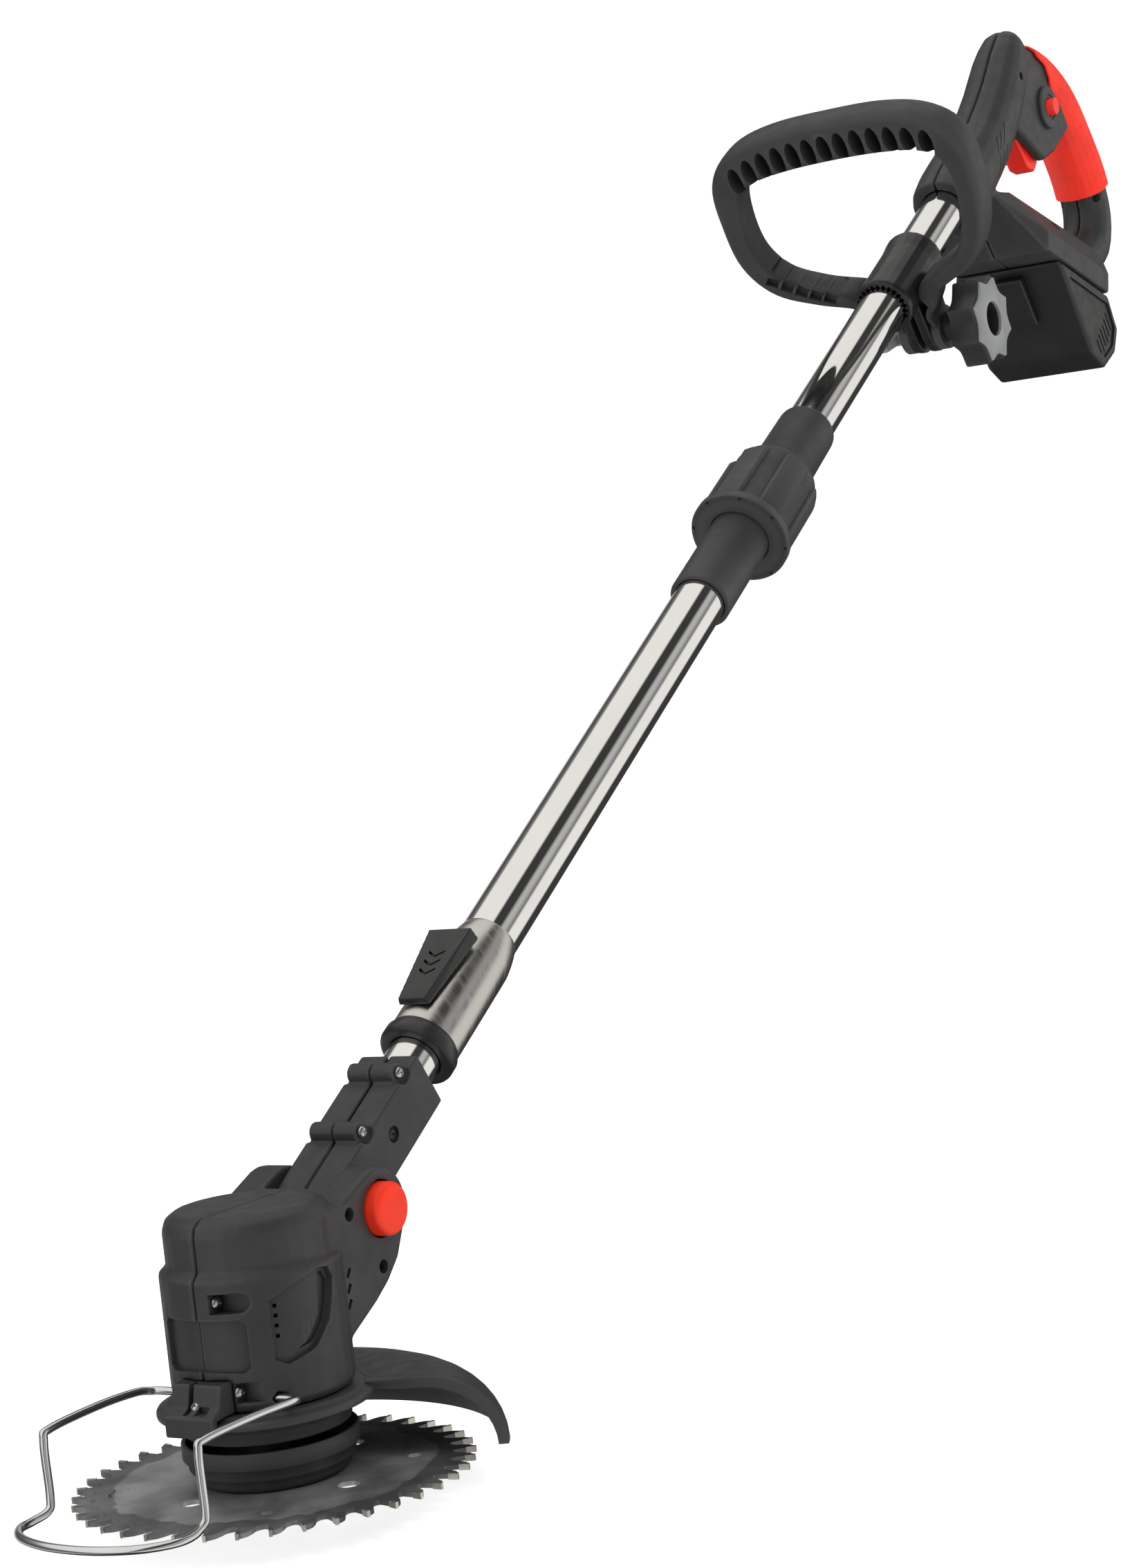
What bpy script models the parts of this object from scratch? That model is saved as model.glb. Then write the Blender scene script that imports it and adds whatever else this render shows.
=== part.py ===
"""Cordless string trimmer with a saw blade, telescopic pole, tilting head and clamped D handle.

Frame: +X forward (towards the wire guard), +Y the user's left, +Z up, the blade level.
The origin is the middle of the rear grip, where the hand holds the machine.
Sizes are millimetres in this file and are turned into metres where meshes are made.
"""
import math

import bmesh
import bpy
from mathutils import Matrix, Vector

MM = 0.001
GAP = 0.3                       # clearance between touching pieces

# Driving dimensions
BLADE_R = 75.0
BLADE_T = 1.8
TEETH = 40
GULLET_R = 66.5
TUBE_R = 12.5                   # both chromed pole tubes
INNER_R = 11.0                  # telescopic inner tube
SHAFT_TILT = math.radians(32.6)
PIVOT_X, PIVOT_Z = -45.0, 90.0  # head pivot seen from the blade's centre
BODY_R = 34.0                   # motor housing
CUP_R = 33.0
FLANGE_R = 40.5
GUARD_R = 88.0
CHEEK_Y = 29.0                  # half width over the yoke
NECK_Y, NECK_N = 14.0, 12.5     # half width and half height of the neck
NECK_END = 72.0                 # stations along the shaft, measured from the pivot
RING_LOW, RING_HIGH = 84.0, 92.0
BELL_R, BELL_END, BELL_CONE = 15.0, 143.0, 155.0
LOWER_SLEEVE, UNION_LOW, UNION_HIGH, UPPER_SLEEVE = 400.0, 453.0, 505.0, 551.0
UNION_SPLIT = 472.0
CLAMP_LOW, CLAMP_HIGH = 672.0, 727.0
BOLT_S, BOLT_N = 712.0, -37.0
SOCKET_S, SOCKET_DEPTH = 779.0, 22.0
TUBE_END = SOCKET_S + SOCKET_DEPTH - 1.0
GRIP_S, GRIP_N = 965.0, -50.0   # middle of the rear grip, the origin

ALONG = Vector((-math.cos(SHAFT_TILT), 0.0, math.sin(SHAFT_TILT)))
ACROSS = Vector((math.sin(SHAFT_TILT), 0.0, math.cos(SHAFT_TILT)))
SIDE = Vector((0.0, 1.0, 0.0))
PIVOT = Vector((PIVOT_X, 0.0, PIVOT_Z))
GRIP = PIVOT + ALONG * GRIP_S + ACROSS * GRIP_N


def shaft(s, n, y=0.0):
    """Point at station s along the shaft and n above its axis, from the blade's centre."""
    return PIVOT + ALONG * s + ACROSS * n + SIDE * y


def clear_scene():
    for old in list(bpy.data.objects):
        bpy.data.objects.remove(old, do_unlink=True)


def material(name, colour, roughness, metallic=0.0):
    made = bpy.data.materials.new(name)
    made.use_nodes = True
    shader = made.node_tree.nodes["Principled BSDF"]
    shader.inputs["Base Color"].default_value = (*colour, 1.0)
    shader.inputs["Roughness"].default_value = roughness
    shader.inputs["Metallic"].default_value = metallic
    return made


def finish(name, work, look, smooth=40.0):
    """Turn a bmesh in millimetres from the blade's centre into a named object."""
    bmesh.ops.remove_doubles(work, verts=work.verts, dist=0.001)
    bmesh.ops.recalc_face_normals(work, faces=work.faces)
    for vert in work.verts:
        vert.co = (vert.co - GRIP) * MM
    mesh = bpy.data.meshes.new(name)
    work.to_mesh(mesh)
    work.free()
    mesh.shade_smooth()
    mesh.set_sharp_from_angle(angle=math.radians(smooth))
    mesh.materials.append(look)
    made = bpy.data.objects.new(name, mesh)
    bpy.context.scene.collection.objects.link(made)
    return made


def combine(target, other, operation):
    """Boolean of two objects, applied; the second object is used up."""
    step = target.modifiers.new(operation.lower(), "BOOLEAN")
    step.operation = operation
    step.object = other
    bpy.context.view_layer.update()
    result = target.evaluated_get(bpy.context.evaluated_depsgraph_get())
    mesh = bpy.data.meshes.new_from_object(result)
    target.modifiers.remove(step)
    target.data = mesh
    bpy.data.objects.remove(other, do_unlink=True)
    return target


def cut(target, *cutters):
    for cutter in cutters:
        combine(target, cutter, "DIFFERENCE")
    return target


def join(target, *others):
    for other in others:
        combine(target, other, "UNION")
    return target


def set_origin(made, point):
    """Move an object's origin to a point given from the blade's centre."""
    place = (point - GRIP) * MM
    made.data.transform(Matrix.Translation(-place))
    made.location = place


def turned(name, profile, look, base, axis, segments=24):
    """Turn an outline of (radius, height) pairs about an axis.

    An outline that starts and ends on the axis gives a solid with flat ends, any other a ring.
    """
    axis = axis.normalized()
    first = axis.orthogonal().normalized()
    second = axis.cross(first)
    solid = profile[0][0] == 0.0
    work = bmesh.new()
    rings = []
    for radius, height in profile[1:-1] if solid else profile:
        loop = []
        for step in range(segments):
            angle = math.tau * step / segments
            outward = first * math.cos(angle) + second * math.sin(angle)
            loop.append(work.verts.new(base + axis * height + outward * radius))
        rings.append(loop)
    pairs = list(zip(rings, rings[1:]))
    if solid:
        work.faces.new(list(reversed(rings[0])))
        work.faces.new(rings[-1])
    else:
        pairs.append((rings[-1], rings[0]))
    for low, high in pairs:
        for step in range(segments):
            after = (step + 1) % segments
            work.faces.new((low[step], low[after], high[after], high[step]))
    return finish(name, work, look)


def disc(name, radius, low, high, look, base, axis, segments=24):
    outline = [(0.0, low), (radius, low), (radius, high), (0.0, high)]
    return turned(name, outline, look, base, axis, segments)


def ring(name, inner, outer, low, high, look, base, axis, segments=24):
    outline = [(inner, low), (outer, low), (outer, high), (inner, high)]
    return turned(name, outline, look, base, axis, segments)


def slab(name, outline, low, high, look, place, bevel=0.0):
    """Extrude a flat outline across the machine between two widths; place maps a point to space."""
    work = bmesh.new()
    near = [work.verts.new(place(a, b, low)) for a, b in outline]
    far = [work.verts.new(place(a, b, high)) for a, b in outline]
    count = len(outline)
    work.faces.new(near)
    work.faces.new(list(reversed(far)))
    for step in range(count):
        after = (step + 1) % count
        work.faces.new((near[after], near[step], far[step], far[after]))
    bmesh.ops.recalc_face_normals(work, faces=work.faces)
    if bevel:
        edges = [edge for edge in work.edges if edge.calc_face_angle(0.0) > math.radians(30)]
        bmesh.ops.bevel(work, geom=edges, offset=bevel, segments=1, affect="EDGES", clamp_overlap=True)
    return finish(name, work, look)


def head_point(x, z, y):
    return Vector((x, y, z))


def level_point(x, y, z):
    return Vector((x, y, z))


def hull(name, points, look):
    work = bmesh.new()
    for point in points:
        work.verts.new(point)
    made = bmesh.ops.convex_hull(work, input=work.verts)
    loose = [item for item in made["geom_interior"] if isinstance(item, bmesh.types.BMVert)]
    bmesh.ops.delete(work, geom=loose, context="VERTS")
    return finish(name, work, look)


def smooth_path(points, per_span):
    """Catmull-Rom curve through tuples of numbers."""
    ends = [points[0], *points, points[-1]]
    path = []
    for index in range(1, len(ends) - 2):
        before, start, stop, after = ends[index - 1:index + 3]
        for step in range(per_span):
            t = step / per_span
            weights = (-0.5 * t + t * t - 0.5 * t ** 3, 1 - 2.5 * t * t + 1.5 * t ** 3,
                       0.5 * t + 2 * t * t - 1.5 * t ** 3, -0.5 * t * t + 0.5 * t ** 3)
            rows = zip(before, start, stop, after)
            path.append(tuple(sum(w * v for w, v in zip(weights, row)) for row in rows))
    path.append(tuple(points[-1]))
    return path


def swept(name, path, look, sides=16, power=2.0, wide=SIDE):
    """Sweep a rounded section along (point, half width, half height) rows, capped at both ends."""
    work = bmesh.new()
    rings = []
    for index, (centre, half_wide, half_high) in enumerate(path):
        before = path[max(index - 1, 0)][0]
        after = path[min(index + 1, len(path) - 1)][0]
        forward = (after - before).normalized()
        across = (wide - forward * wide.dot(forward)).normalized()
        upward = forward.cross(across)
        loop = []
        for step in range(sides):
            angle = math.tau * (step + 0.5) / sides
            c, s = math.cos(angle), math.sin(angle)
            a = math.copysign(abs(c) ** (2.0 / power), c) * half_wide
            b = math.copysign(abs(s) ** (2.0 / power), s) * half_high
            loop.append(work.verts.new(centre + across * a + upward * b))
        rings.append(loop)
    for low, high in zip(rings, rings[1:]):
        for step in range(sides):
            after = (step + 1) % sides
            work.faces.new((low[step], low[after], high[after], high[step]))
    work.faces.new(list(reversed(rings[0])))
    work.faces.new(rings[-1])
    return finish(name, work, look)


def arc(centre_a, centre_b, radius, start, stop, steps):
    """Points of an arc in a plane, angles in degrees."""
    angles = [math.radians(start + (stop - start) * step / steps) for step in range(steps + 1)]
    return [(centre_a + radius * math.cos(t), centre_b + radius * math.sin(t)) for t in angles]


def box(low_s, high_s, low_n, high_n):
    return [(low_s, low_n), (high_s, low_n), (high_s, high_n), (low_s, high_n)]


UP = Vector((0.0, 0.0, 1.0))
CENTRE = Vector((0.0, 0.0, 0.0))

clear_scene()
BLACK = material("moulded_black", (0.022, 0.022, 0.024), 0.5)
GLOSS_BLACK = material("smooth_black", (0.014, 0.014, 0.015), 0.3)
GREY = material("knob_grey", (0.32, 0.33, 0.34), 0.45)
ORANGE = material("button_orange", (0.95, 0.1, 0.01), 0.4)
RED = material("grip_red", (0.85, 0.025, 0.012), 0.55)
CHROME = material("chromed_tube", (0.75, 0.75, 0.76), 0.1, 1.0)
BRUSHED = material("brushed_steel", (0.55, 0.54, 0.52), 0.35, 1.0)
STEEL = material("blade_steel", (0.3, 0.3, 0.31), 0.4, 1.0)
ZINC = material("bright_zinc", (0.65, 0.66, 0.68), 0.25, 1.0)
COPPER = material("winding_copper", (0.6, 0.3, 0.15), 0.4, 1.0)


# ---- cutting head ----------------------------------------------------------------------------

YOKE_R = 16.0
SLOT_Y = NECK_Y + 0.6
SLOT_R = NECK_N + 2.2
HOUSING_LOW, CAP_LOW, CAP_TOP = 32.0, 81.0, 101.5
CAP_R = 31.0
MOTOR_R, MOTOR_LOW, MOTOR_TOP = 21.0, 34.0, 92.0
BUTTON_R = 10.5
BUTTON_FLOOR = 17.4             # half width at the floor of the tilt buttons' holes
SCREW_X = 29.6
HOUSING_SCREWS = (("housing_screw_upper", 6.4, 72.0), ("housing_screw_lower", 12.4, 39.5))


def housing_half(name, sign):
    """One half of the motor housing with its cheek of the yoke."""
    barrel = [(0.0, HOUSING_LOW), (BODY_R - 1.5, HOUSING_LOW), (BODY_R, HOUSING_LOW + 3), (BODY_R, CAP_LOW - 1),
              (CAP_R, CAP_LOW + 1.5), (CAP_R, CAP_TOP - 6), (CAP_R - 1.5, CAP_TOP - 2.2), (CAP_R - 5, CAP_TOP),
              (0.0, CAP_TOP)]
    half = turned(name, barrel, BLACK, CENTRE, UP, 32)
    outline = [(3.7, HOUSING_LOW + 0.5), (-8.0, 41.5), (-18.0, 46.5), (-27.0, 51.4), (-36.2, 56.4),
               (-44.5, 62.0), (-52.4, 69.7)]
    outline += arc(PIVOT_X, PIVOT_Z, YOKE_R, 215, 72, 9)
    outline += [(-22.0, 97.3), (3.7, 96.1)]
    cheeks = slab("cheeks", outline, -CHEEK_Y, CHEEK_Y, BLACK, head_point, 1.2)
    wide = BUTTON_R + 0.4
    stepped = [(0.0, 12.0), (6.3, 12.0), (6.3, BUTTON_FLOOR), (wide, BUTTON_FLOOR), (wide, 60.0), (0.0, 60.0)]
    cut(cheeks, turned("pivot_hole", stepped, BLACK, PIVOT, SIDE * sign, 22))
    join(half, cheeks)
    slot = [(-30.3, 140.0), (-30.3, PIVOT_Z)] + arc(PIVOT_X, PIVOT_Z, SLOT_R, 0, -90, 6)[1:]
    slot += [(-120.0, PIVOT_Z - SLOT_R), (-120.0, 140.0)]
    cut(half, slab("slot", slot, -SLOT_Y, SLOT_Y, BLACK, head_point))
    cut(half, disc("cavity", MOTOR_R + 0.4, 20.0, MOTOR_TOP + 0.4, BLACK, CENTRE, UP, 26))
    clip_notch = slab("notch", box(30.0, 60.0, 20.0, 44.3), -11.4, 11.4, BLACK, head_point)
    cut(half, clip_notch)
    for _, y, z in HOUSING_SCREWS:
        cut(half, disc("seat", 3.2, y - GAP, y + 14.0, BLACK, Vector((SCREW_X, 0.0, z)), SIDE, 12))
    hinge = Vector((WIRE_X, 0.0, WIRE_Z))
    wire_hole = disc("wire_hole", 2.2, WIRE_END - 1.0, 60.0, BLACK, hinge, SIDE * sign, 12)
    cut(half, wire_hole)
    limits = sorted((sign * 0.15, sign * 80.0))
    keep = slab("keep", box(-200.0, 200.0, -100.0, 200.0), limits[0], limits[1], BLACK, head_point)
    return combine(half, keep, "INTERSECT")


WIRE_R = 1.6
WIRE_X, WIRE_Z, WIRE_Y = 22.0, 36.2, 36.4
WIRE_END = 19.0                 # half width at the wire's ends, inside the housing


def wire_guard():
    """Bent wire hoop in front of the blade, hinged in the housing's sides."""
    half = [(WIRE_X, WIRE_END, WIRE_Z), (WIRE_X, 30.0, WIRE_Z), (WIRE_X + 2.0, 34.0, WIRE_Z + 0.3),
            (WIRE_X + 8.0, WIRE_Y, WIRE_Z + 1.2), (50.0, WIRE_Y, 38.2), (77.0, WIRE_Y - 1, 37.5),
            (81.0, WIRE_Y - 1, 34.0), (81.0, WIRE_Y - 1, 14.0),
            (83.0, WIRE_Y - 1, 9.5), (90.0, WIRE_Y, 8.0), (98.0, 35.0, 8.0), (106.0, 27.0, 8.0),
            (111.0, 14.0, 8.0)]
    points = half + [(112.5, 0.0, 8.0)] + [(x, -y, z) for x, y, z in reversed(half)]
    path = [(Vector(point), WIRE_R, WIRE_R) for point in smooth_path(points, 2)]
    return swept("wire_guard", path, ZINC, 6, 2.0, Vector((0.3, 0.1, 0.94)))


def debris_guard():
    """Ring under the housing with a scoop-shaped shield over the rear of the blade."""
    plate = ring("debris_guard", 28.0, FLANGE_R, 27.0, 31.6, BLACK, CENTRE, UP, 32)
    flat_end, hem, top, thick = 58.0, 3.6, 31.6, 2.4
    outer = [(36.0, top), (flat_end, top)]
    inner = [(36.0, top - thick), (flat_end - 1.0, top - thick)]
    for step in range(1, 5):
        t = math.radians(22.5 * step)
        outer.append((flat_end + (GUARD_R - flat_end) * math.sin(t), hem + (top - hem) * math.cos(t)))
        reach = GUARD_R - flat_end - thick + 1.0
        inner.append((flat_end - 1.0 + reach * math.sin(t), hem + (top - thick - hem) * math.cos(t)))
    outline = outer + list(reversed(inner))
    work = bmesh.new()
    rings = []
    steps = 15
    for step in range(steps + 1):
        angle = math.radians(118 + 124 * step / steps)
        rings.append([work.verts.new((r * math.cos(angle), r * math.sin(angle), z)) for r, z in outline])
    count = len(outline)
    for low, high in zip(rings, rings[1:]):
        for index in range(count):
            after = (index + 1) % count
            work.faces.new((low[index], low[after], high[after], high[index]))
    work.faces.new(rings[0])
    work.faces.new(list(reversed(rings[-1])))
    return join(plate, finish("scoop", work, BLACK))


def saw_blade():
    """Toothed disc with a bore and four stabiliser slots."""
    outline = []
    pitch = math.tau / TEETH
    for tooth in range(TEETH):
        start = tooth * pitch
        shape = ((GULLET_R, 0.0), (BLADE_R, 0.12), (BLADE_R - 1.2, 0.38), (69.5, 0.55), (GULLET_R, 0.7))
        for radius, turn in shape:
            angle = start + turn * pitch
            outline.append((radius * math.cos(angle), radius * math.sin(angle)))
    blade = slab("saw_blade", outline, -BLADE_T / 2, BLADE_T / 2, STEEL, level_point)
    cut(blade, disc("bore", 4.4, -5.0, 5.0, STEEL, CENTRE, UP, 20))
    for quarter in range(4):
        angle = math.radians(35 + 90 * quarter)
        centre = Vector((52.0 * math.cos(angle), 52.0 * math.sin(angle), 0.0))
        cut(blade, disc("hole", 2.6, -5.0, 5.0, STEEL, centre, UP, 12))
    return blade


def blade_cup():
    outline = [(4.4, 1.2), (27.0, 1.2), (29.0, 3.2), (29.0, 5.2), (31.0, 6.4), (31.0, 9.4), (CUP_R, 10.6),
               (CUP_R, 17.0), (CUP_R - 2.2, 17.0), (CUP_R - 2.2, 11.5), (28.0, 8.0), (10.0, 6.0), (8.5, 17.5),
               (4.4, 17.5)]
    return turned("blade_cup", outline, BLACK, CENTRE, UP, 32)


def spin_parts():
    spindle = [(0.0, -12.0), (4.0, -12.0), (4.0, 17.8), (5.2, 17.8), (5.2, 36.0), (4.0, 36.2), (4.0, 88.0),
               (0.0, 88.0)]
    washer = [(4.4, -3.4), (14.0, -3.4), (15.0, -2.6), (15.0, -1.2), (4.4, -1.2)]
    hexagon = [(0.0, -9.5), (8.0, -9.5), (8.6, -8.9), (8.6, -3.7), (0.0, -3.7)]
    nut = turned("blade_nut", hexagon, ZINC, CENTRE, UP, 6)
    cut(nut, disc("thread", 4.3, -15.0, 0.0, ZINC, CENTRE, UP, 20))
    return [
        turned("spindle", spindle, STEEL, CENTRE, UP, 20),
        saw_blade(),
        blade_cup(),
        turned("blade_washer", washer, ZINC, CENTRE, UP, 28),
        nut,
        ring("rotor", 4.3, 14.0, 42.0, 82.0, COPPER, CENTRE, UP, 20),
    ]


def screw(name, head, axis):
    """Pan head of a screw standing on its seat; its shank is part of the boss below it."""
    outline = [(0.0, 0.0), (2.4, 0.0), (2.4, 1.0), (1.6, 1.9), (0.0, 1.9)]
    return turned(name, outline, ZINC, head, axis, 12)


def head_parts():
    base = [(11.3, 19.0), (30.0, 19.0), (31.0, 20.0), (31.0, 24.0), (33.0, 25.0), (33.0, 26.6),
            (27.6, 26.7), (27.6, 31.7), (11.3, 31.7)]
    can = [(5.0, MOTOR_TOP), (MOTOR_R, MOTOR_TOP), (MOTOR_R, MOTOR_LOW), (MOTOR_R - 3, MOTOR_LOW),
           (MOTOR_R - 3, MOTOR_TOP - 3), (5.0, MOTOR_TOP - 3)]
    clip = [(31.0, 32.4), (36.0, 32.4), (41.6, 32.0), (41.6, 26.0), (44.6, 26.0), (44.6, 33.5), (40.0, 36.0),
            (38.0, 44.0), (31.0, 44.0)]
    pin_end = BUTTON_FLOOR - 0.4
    return [
        housing_half("motor_housing_left", 1),
        housing_half("motor_housing_right", -1),
        turned("housing_base", base, BLACK, CENTRE, UP, 32),
        debris_guard(),
        turned("motor_can", can, BRUSHED, CENTRE, UP, 32),
        ring("lower_bearing", 5.5, 11.0, 20.5, 27.5, STEEL, CENTRE, UP, 24),
        disc("tilt_pin", 6.0, -pin_end, pin_end, STEEL, PIVOT, SIDE, 20),
        slab("guard_clip", clip, -11.0, 11.0, BLACK, head_point),
    ]


def tilt_button(name, sign):
    outline = [(0.0, 22.0), (BUTTON_R - 0.3, 22.0), (BUTTON_R - 0.3, 33.0), (BUTTON_R - 1.8, 34.5), (0.0, 34.8)]
    return turned(name, outline, ORANGE, PIVOT, SIDE * sign, 28)


# ---- neck and pole ---------------------------------------------------------------------------

SCREW_SEAT = 11.0               # half width at the neck's screw seats
NECK_SCREWS = (27.0, 60.0)
WINDOW_LOW, WINDOW_HIGH = 101.0, 140.0


def neck_half(name, sign):
    """Half of the box-shaped neck that clamps the inner tube."""
    outline = [(NECK_END, -NECK_N), (NECK_END, NECK_N)] + arc(0.0, 0.0, NECK_N, 90, 270, 12)
    low, high = sorted((sign * 0.15, sign * NECK_Y))
    half = slab(name, outline, low, high, BLACK, shaft, 1.0)
    for station in NECK_SCREWS:
        middle = shaft(station, NECK_N + 1.0)
        join(half, disc("lug", 4.2, sign * 0.15, sign * (SCREW_SEAT + 1.0), BLACK, middle, SIDE, 16))
        cut(half, disc("seat", 4.6, sign * SCREW_SEAT, sign * 20.0, BLACK, middle, SIDE, 16))
    cut(half, disc("bore", INNER_R + GAP, 20.0, 100.0, BLACK, PIVOT, ALONG, 24))
    cut(half, disc("pin_hole", 6.3, -30.0, 30.0, BLACK, PIVOT, SIDE, 24))
    return half


def lower_tube():
    outline = [(11.6, RING_HIGH + GAP), (BELL_R, RING_HIGH + GAP), (BELL_R, BELL_END), (14.2, BELL_END + 5),
               (TUBE_R + 0.4, BELL_CONE - 2), (TUBE_R, BELL_CONE), (TUBE_R, 470.0), (11.6, 470.0)]
    tube = turned("lower_tube", outline, CHROME, PIVOT, ALONG, 28)
    return cut(tube, slab("window", box(WINDOW_LOW, WINDOW_HIGH, 10.0, 25.0), -6.4, 6.4, CHROME, shaft))


def release_button():
    """Wedge-shaped slide button on the bell, with a stem into the window."""
    work = bmesh.new()
    rows = ((98.0, 7.5, 15.4, 19.0), (138.0, 11.5, 15.4, 21.5))
    ends = []
    for station, half, low, high in rows:
        corners = ((-half, low), (half, low), (half - 1.0, high), (-half + 1.0, high))
        ends.append([work.verts.new(shaft(station, n, y)) for y, n in corners])
    for step in range(4):
        after = (step + 1) % 4
        work.faces.new((ends[0][step], ends[0][after], ends[1][after], ends[1][step]))
    work.faces.new(ends[0])
    work.faces.new(list(reversed(ends[1])))
    button = finish("release_button", work, GLOSS_BLACK)
    return join(button, slab("stem", box(103.0, 132.0, 12.4, 17.0), -6.0, 6.0, GLOSS_BLACK, shaft))


def pole_parts():
    end_ring = [(11.4, RING_LOW), (15.0, RING_LOW), (16.2, RING_LOW + 1.2), (16.2, RING_HIGH - 2),
                (15.2, RING_HIGH), (11.4, RING_HIGH)]
    low_sleeve = [(TUBE_R + GAP, LOWER_SLEEVE), (15.0, LOWER_SLEEVE), (15.0, UNION_LOW + 8),
                  (19.0, UNION_LOW + 8),
                  (19.0, UNION_SPLIT - 1), (TUBE_R + GAP, UNION_SPLIT - 1)]
    up_sleeve = [(TUBE_R + GAP, UNION_SPLIT), (19.0, UNION_SPLIT), (19.0, UNION_HIGH - 5),
                 (15.6, UNION_HIGH - 3),
                 (15.0, UPPER_SLEEVE - 2), (14.6, UPPER_SLEEVE), (TUBE_R + GAP, UPPER_SLEEVE)]
    return [
        turned("bell_end_ring", end_ring, GLOSS_BLACK, PIVOT, ALONG, 24),
        lower_tube(),
        turned("lower_sleeve", low_sleeve, BLACK, PIVOT, ALONG, 24),
        turned("upper_sleeve", up_sleeve, BLACK, PIVOT, ALONG, 24),
        ring("upper_tube", 11.6, TUBE_R, UNION_SPLIT + 1, TUBE_END, CHROME, PIVOT, ALONG, 28),
    ]


def union_nut():
    """Large nut with raised finger pads and a flange at its lower end."""
    outline = [(15.5, UNION_LOW), (23.5, UNION_LOW), (25.0, UNION_LOW + 1.5), (25.0, UNION_LOW + 5),
               (22.0, UNION_LOW + 6.5), (21.6, UNION_HIGH - 3), (20.8, UNION_HIGH), (19.4, UNION_HIGH),
               (19.4, UNION_LOW + 7), (15.5, UNION_LOW + 7)]
    nut = turned("union_nut", outline, BLACK, PIVOT, ALONG, 24)
    for pad in range(6):
        angle = math.tau * pad / 6
        outward = ACROSS * math.cos(angle) + SIDE * math.sin(angle)
        beside = ALONG.cross(outward)
        corners = []
        for station in (UNION_LOW + 5.5, UNION_HIGH - 4):
            middle = PIVOT + ALONG * station
            corners += [middle + outward * r + beside * b for r in (20.5, 23.6) for b in (-7.0, 7.0)]
        join(nut, hull("pad", corners, BLACK))
    return nut


# ---- clamped D handle ------------------------------------------------------------------------

def aux_clamp():
    outline = [(TUBE_R + GAP, CLAMP_LOW), (15.6, CLAMP_LOW), (16.4, CLAMP_LOW + 2), (15.8, CLAMP_LOW + 14),
               (15.8, CLAMP_HIGH - 12), (16.6, CLAMP_HIGH - 2), (16.0, CLAMP_HIGH), (TUBE_R + GAP, CLAMP_HIGH)]
    clamp = turned("aux_clamp", outline, GLOSS_BLACK, PIVOT, ALONG, 24)
    ear = [(698.0, -14.0), (699.0, -36.0)] + arc(BOLT_S, BOLT_N, 12.5, 180, 360, 8)[1:] + [(725.0, -14.0)]
    join(clamp, slab("ears", ear, -7.0, 7.0, GLOSS_BLACK, shaft, 0.8))
    slit = box(CLAMP_LOW - 5, CLAMP_HIGH + 5, -60.0, -8.0)
    cut(clamp, slab("slit", slit, -1.6, 1.6, GLOSS_BLACK, shaft))
    return cut(clamp, disc("bolt_hole", 3.3, -20.0, 20.0, GLOSS_BLACK, shaft(BOLT_S, BOLT_N), SIDE, 16))


EAR_IN, EAR_OUT = 7.3, 12.3


def aux_handle():
    """Closed D-shaped hand loop whose two ears straddle the clamp."""
    half = [(0.0, 98.0, 684.0, 11.0, 12.0), (30.0, 97.0, 684.0, 11.0, 12.0), (52.0, 92.5, 684.0, 11.0, 11.0),
            (65.0, 82.0, 684.0, 11.0, 9.0), (68.5, 62.0, 683.0, 11.0, 7.0), (66.0, 40.0, 681.0, 11.0, 6.5),
            (56.0, 22.0, 683.0, 11.0, 6.0), (38.0, 10.0, 687.0, 11.0, 5.2), (21.5, 0.0, 694.0, 11.0, 4.6),
            (17.8, -11.0, 702.0, 11.0, 2.8), (11.4, -21.0, 708.0, 10.5, 2.4), (9.8, -27.5, 710.5, 10.2, 2.4),
            (9.8, -35.0, BOLT_S, 10.0, 2.4)]
    rows = [(-y, n, s, a, b) for y, n, s, a, b in reversed(half)] + half[1:]
    path = [(shaft(s, n, y), a, b) for y, n, s, a, b in smooth_path(rows, 2)]
    loop = swept("aux_handle", path, BLACK, 12, 2.6, ALONG)
    for sign in (-1, 1):
        ear = disc("ear", 12.0, EAR_IN, EAR_OUT, BLACK, shaft(BOLT_S, BOLT_N), SIDE * sign, 24)
        join(loop, ear)
    inner = slab("clear", box(680.0, 745.0, -60.0, 1.0), -EAR_IN, EAR_IN, BLACK, shaft)
    hole = disc("hole", 3.3, -40.0, 40.0, BLACK, shaft(BOLT_S, BOLT_N), SIDE, 16)
    return cut(loop, inner, hole)


def clamp_knob():
    """Star knob with eight lobes on the bolt's left end."""
    lobes = 8
    outline = []
    for step in range(lobes * 4):
        angle = math.tau * step / (lobes * 4)
        radius = 22.6 + 2.4 * math.cos(lobes * angle)
        outline.append((BOLT_S + radius * math.cos(angle), BOLT_N + radius * math.sin(angle)))
    knob = slab("clamp_knob", outline, 22.8, 40.0, GREY, shaft, 0.8)
    join(knob, disc("hub", 8.0, EAR_OUT + 0.5, 24.0, GREY, shaft(BOLT_S, BOLT_N), SIDE, 24))
    return cut(knob, disc("well", 4.4, 10.0, 42.0, GREY, shaft(BOLT_S, BOLT_N), SIDE, 20))


def wing_nut():
    nut = ring("wing_nut", 3.3, 6.5, -21.0, -EAR_OUT - 0.5, GREY, shaft(BOLT_S, BOLT_N), SIDE, 20)
    for sign in (-1, 1):
        corners = []
        for reach, rise, half in ((5.0, -15.0, 3.0), (5.0, -20.5, 3.0), (17.0, -19.0, 1.5), (17.0, -25.0, 1.5)):
            corners += [shaft(BOLT_S + sign * reach, BOLT_N + side, rise) for side in (-half, half)]
        join(nut, hull("wing", corners, GREY))
    return nut


# ---- rear handle -----------------------------------------------------------------------------

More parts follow.
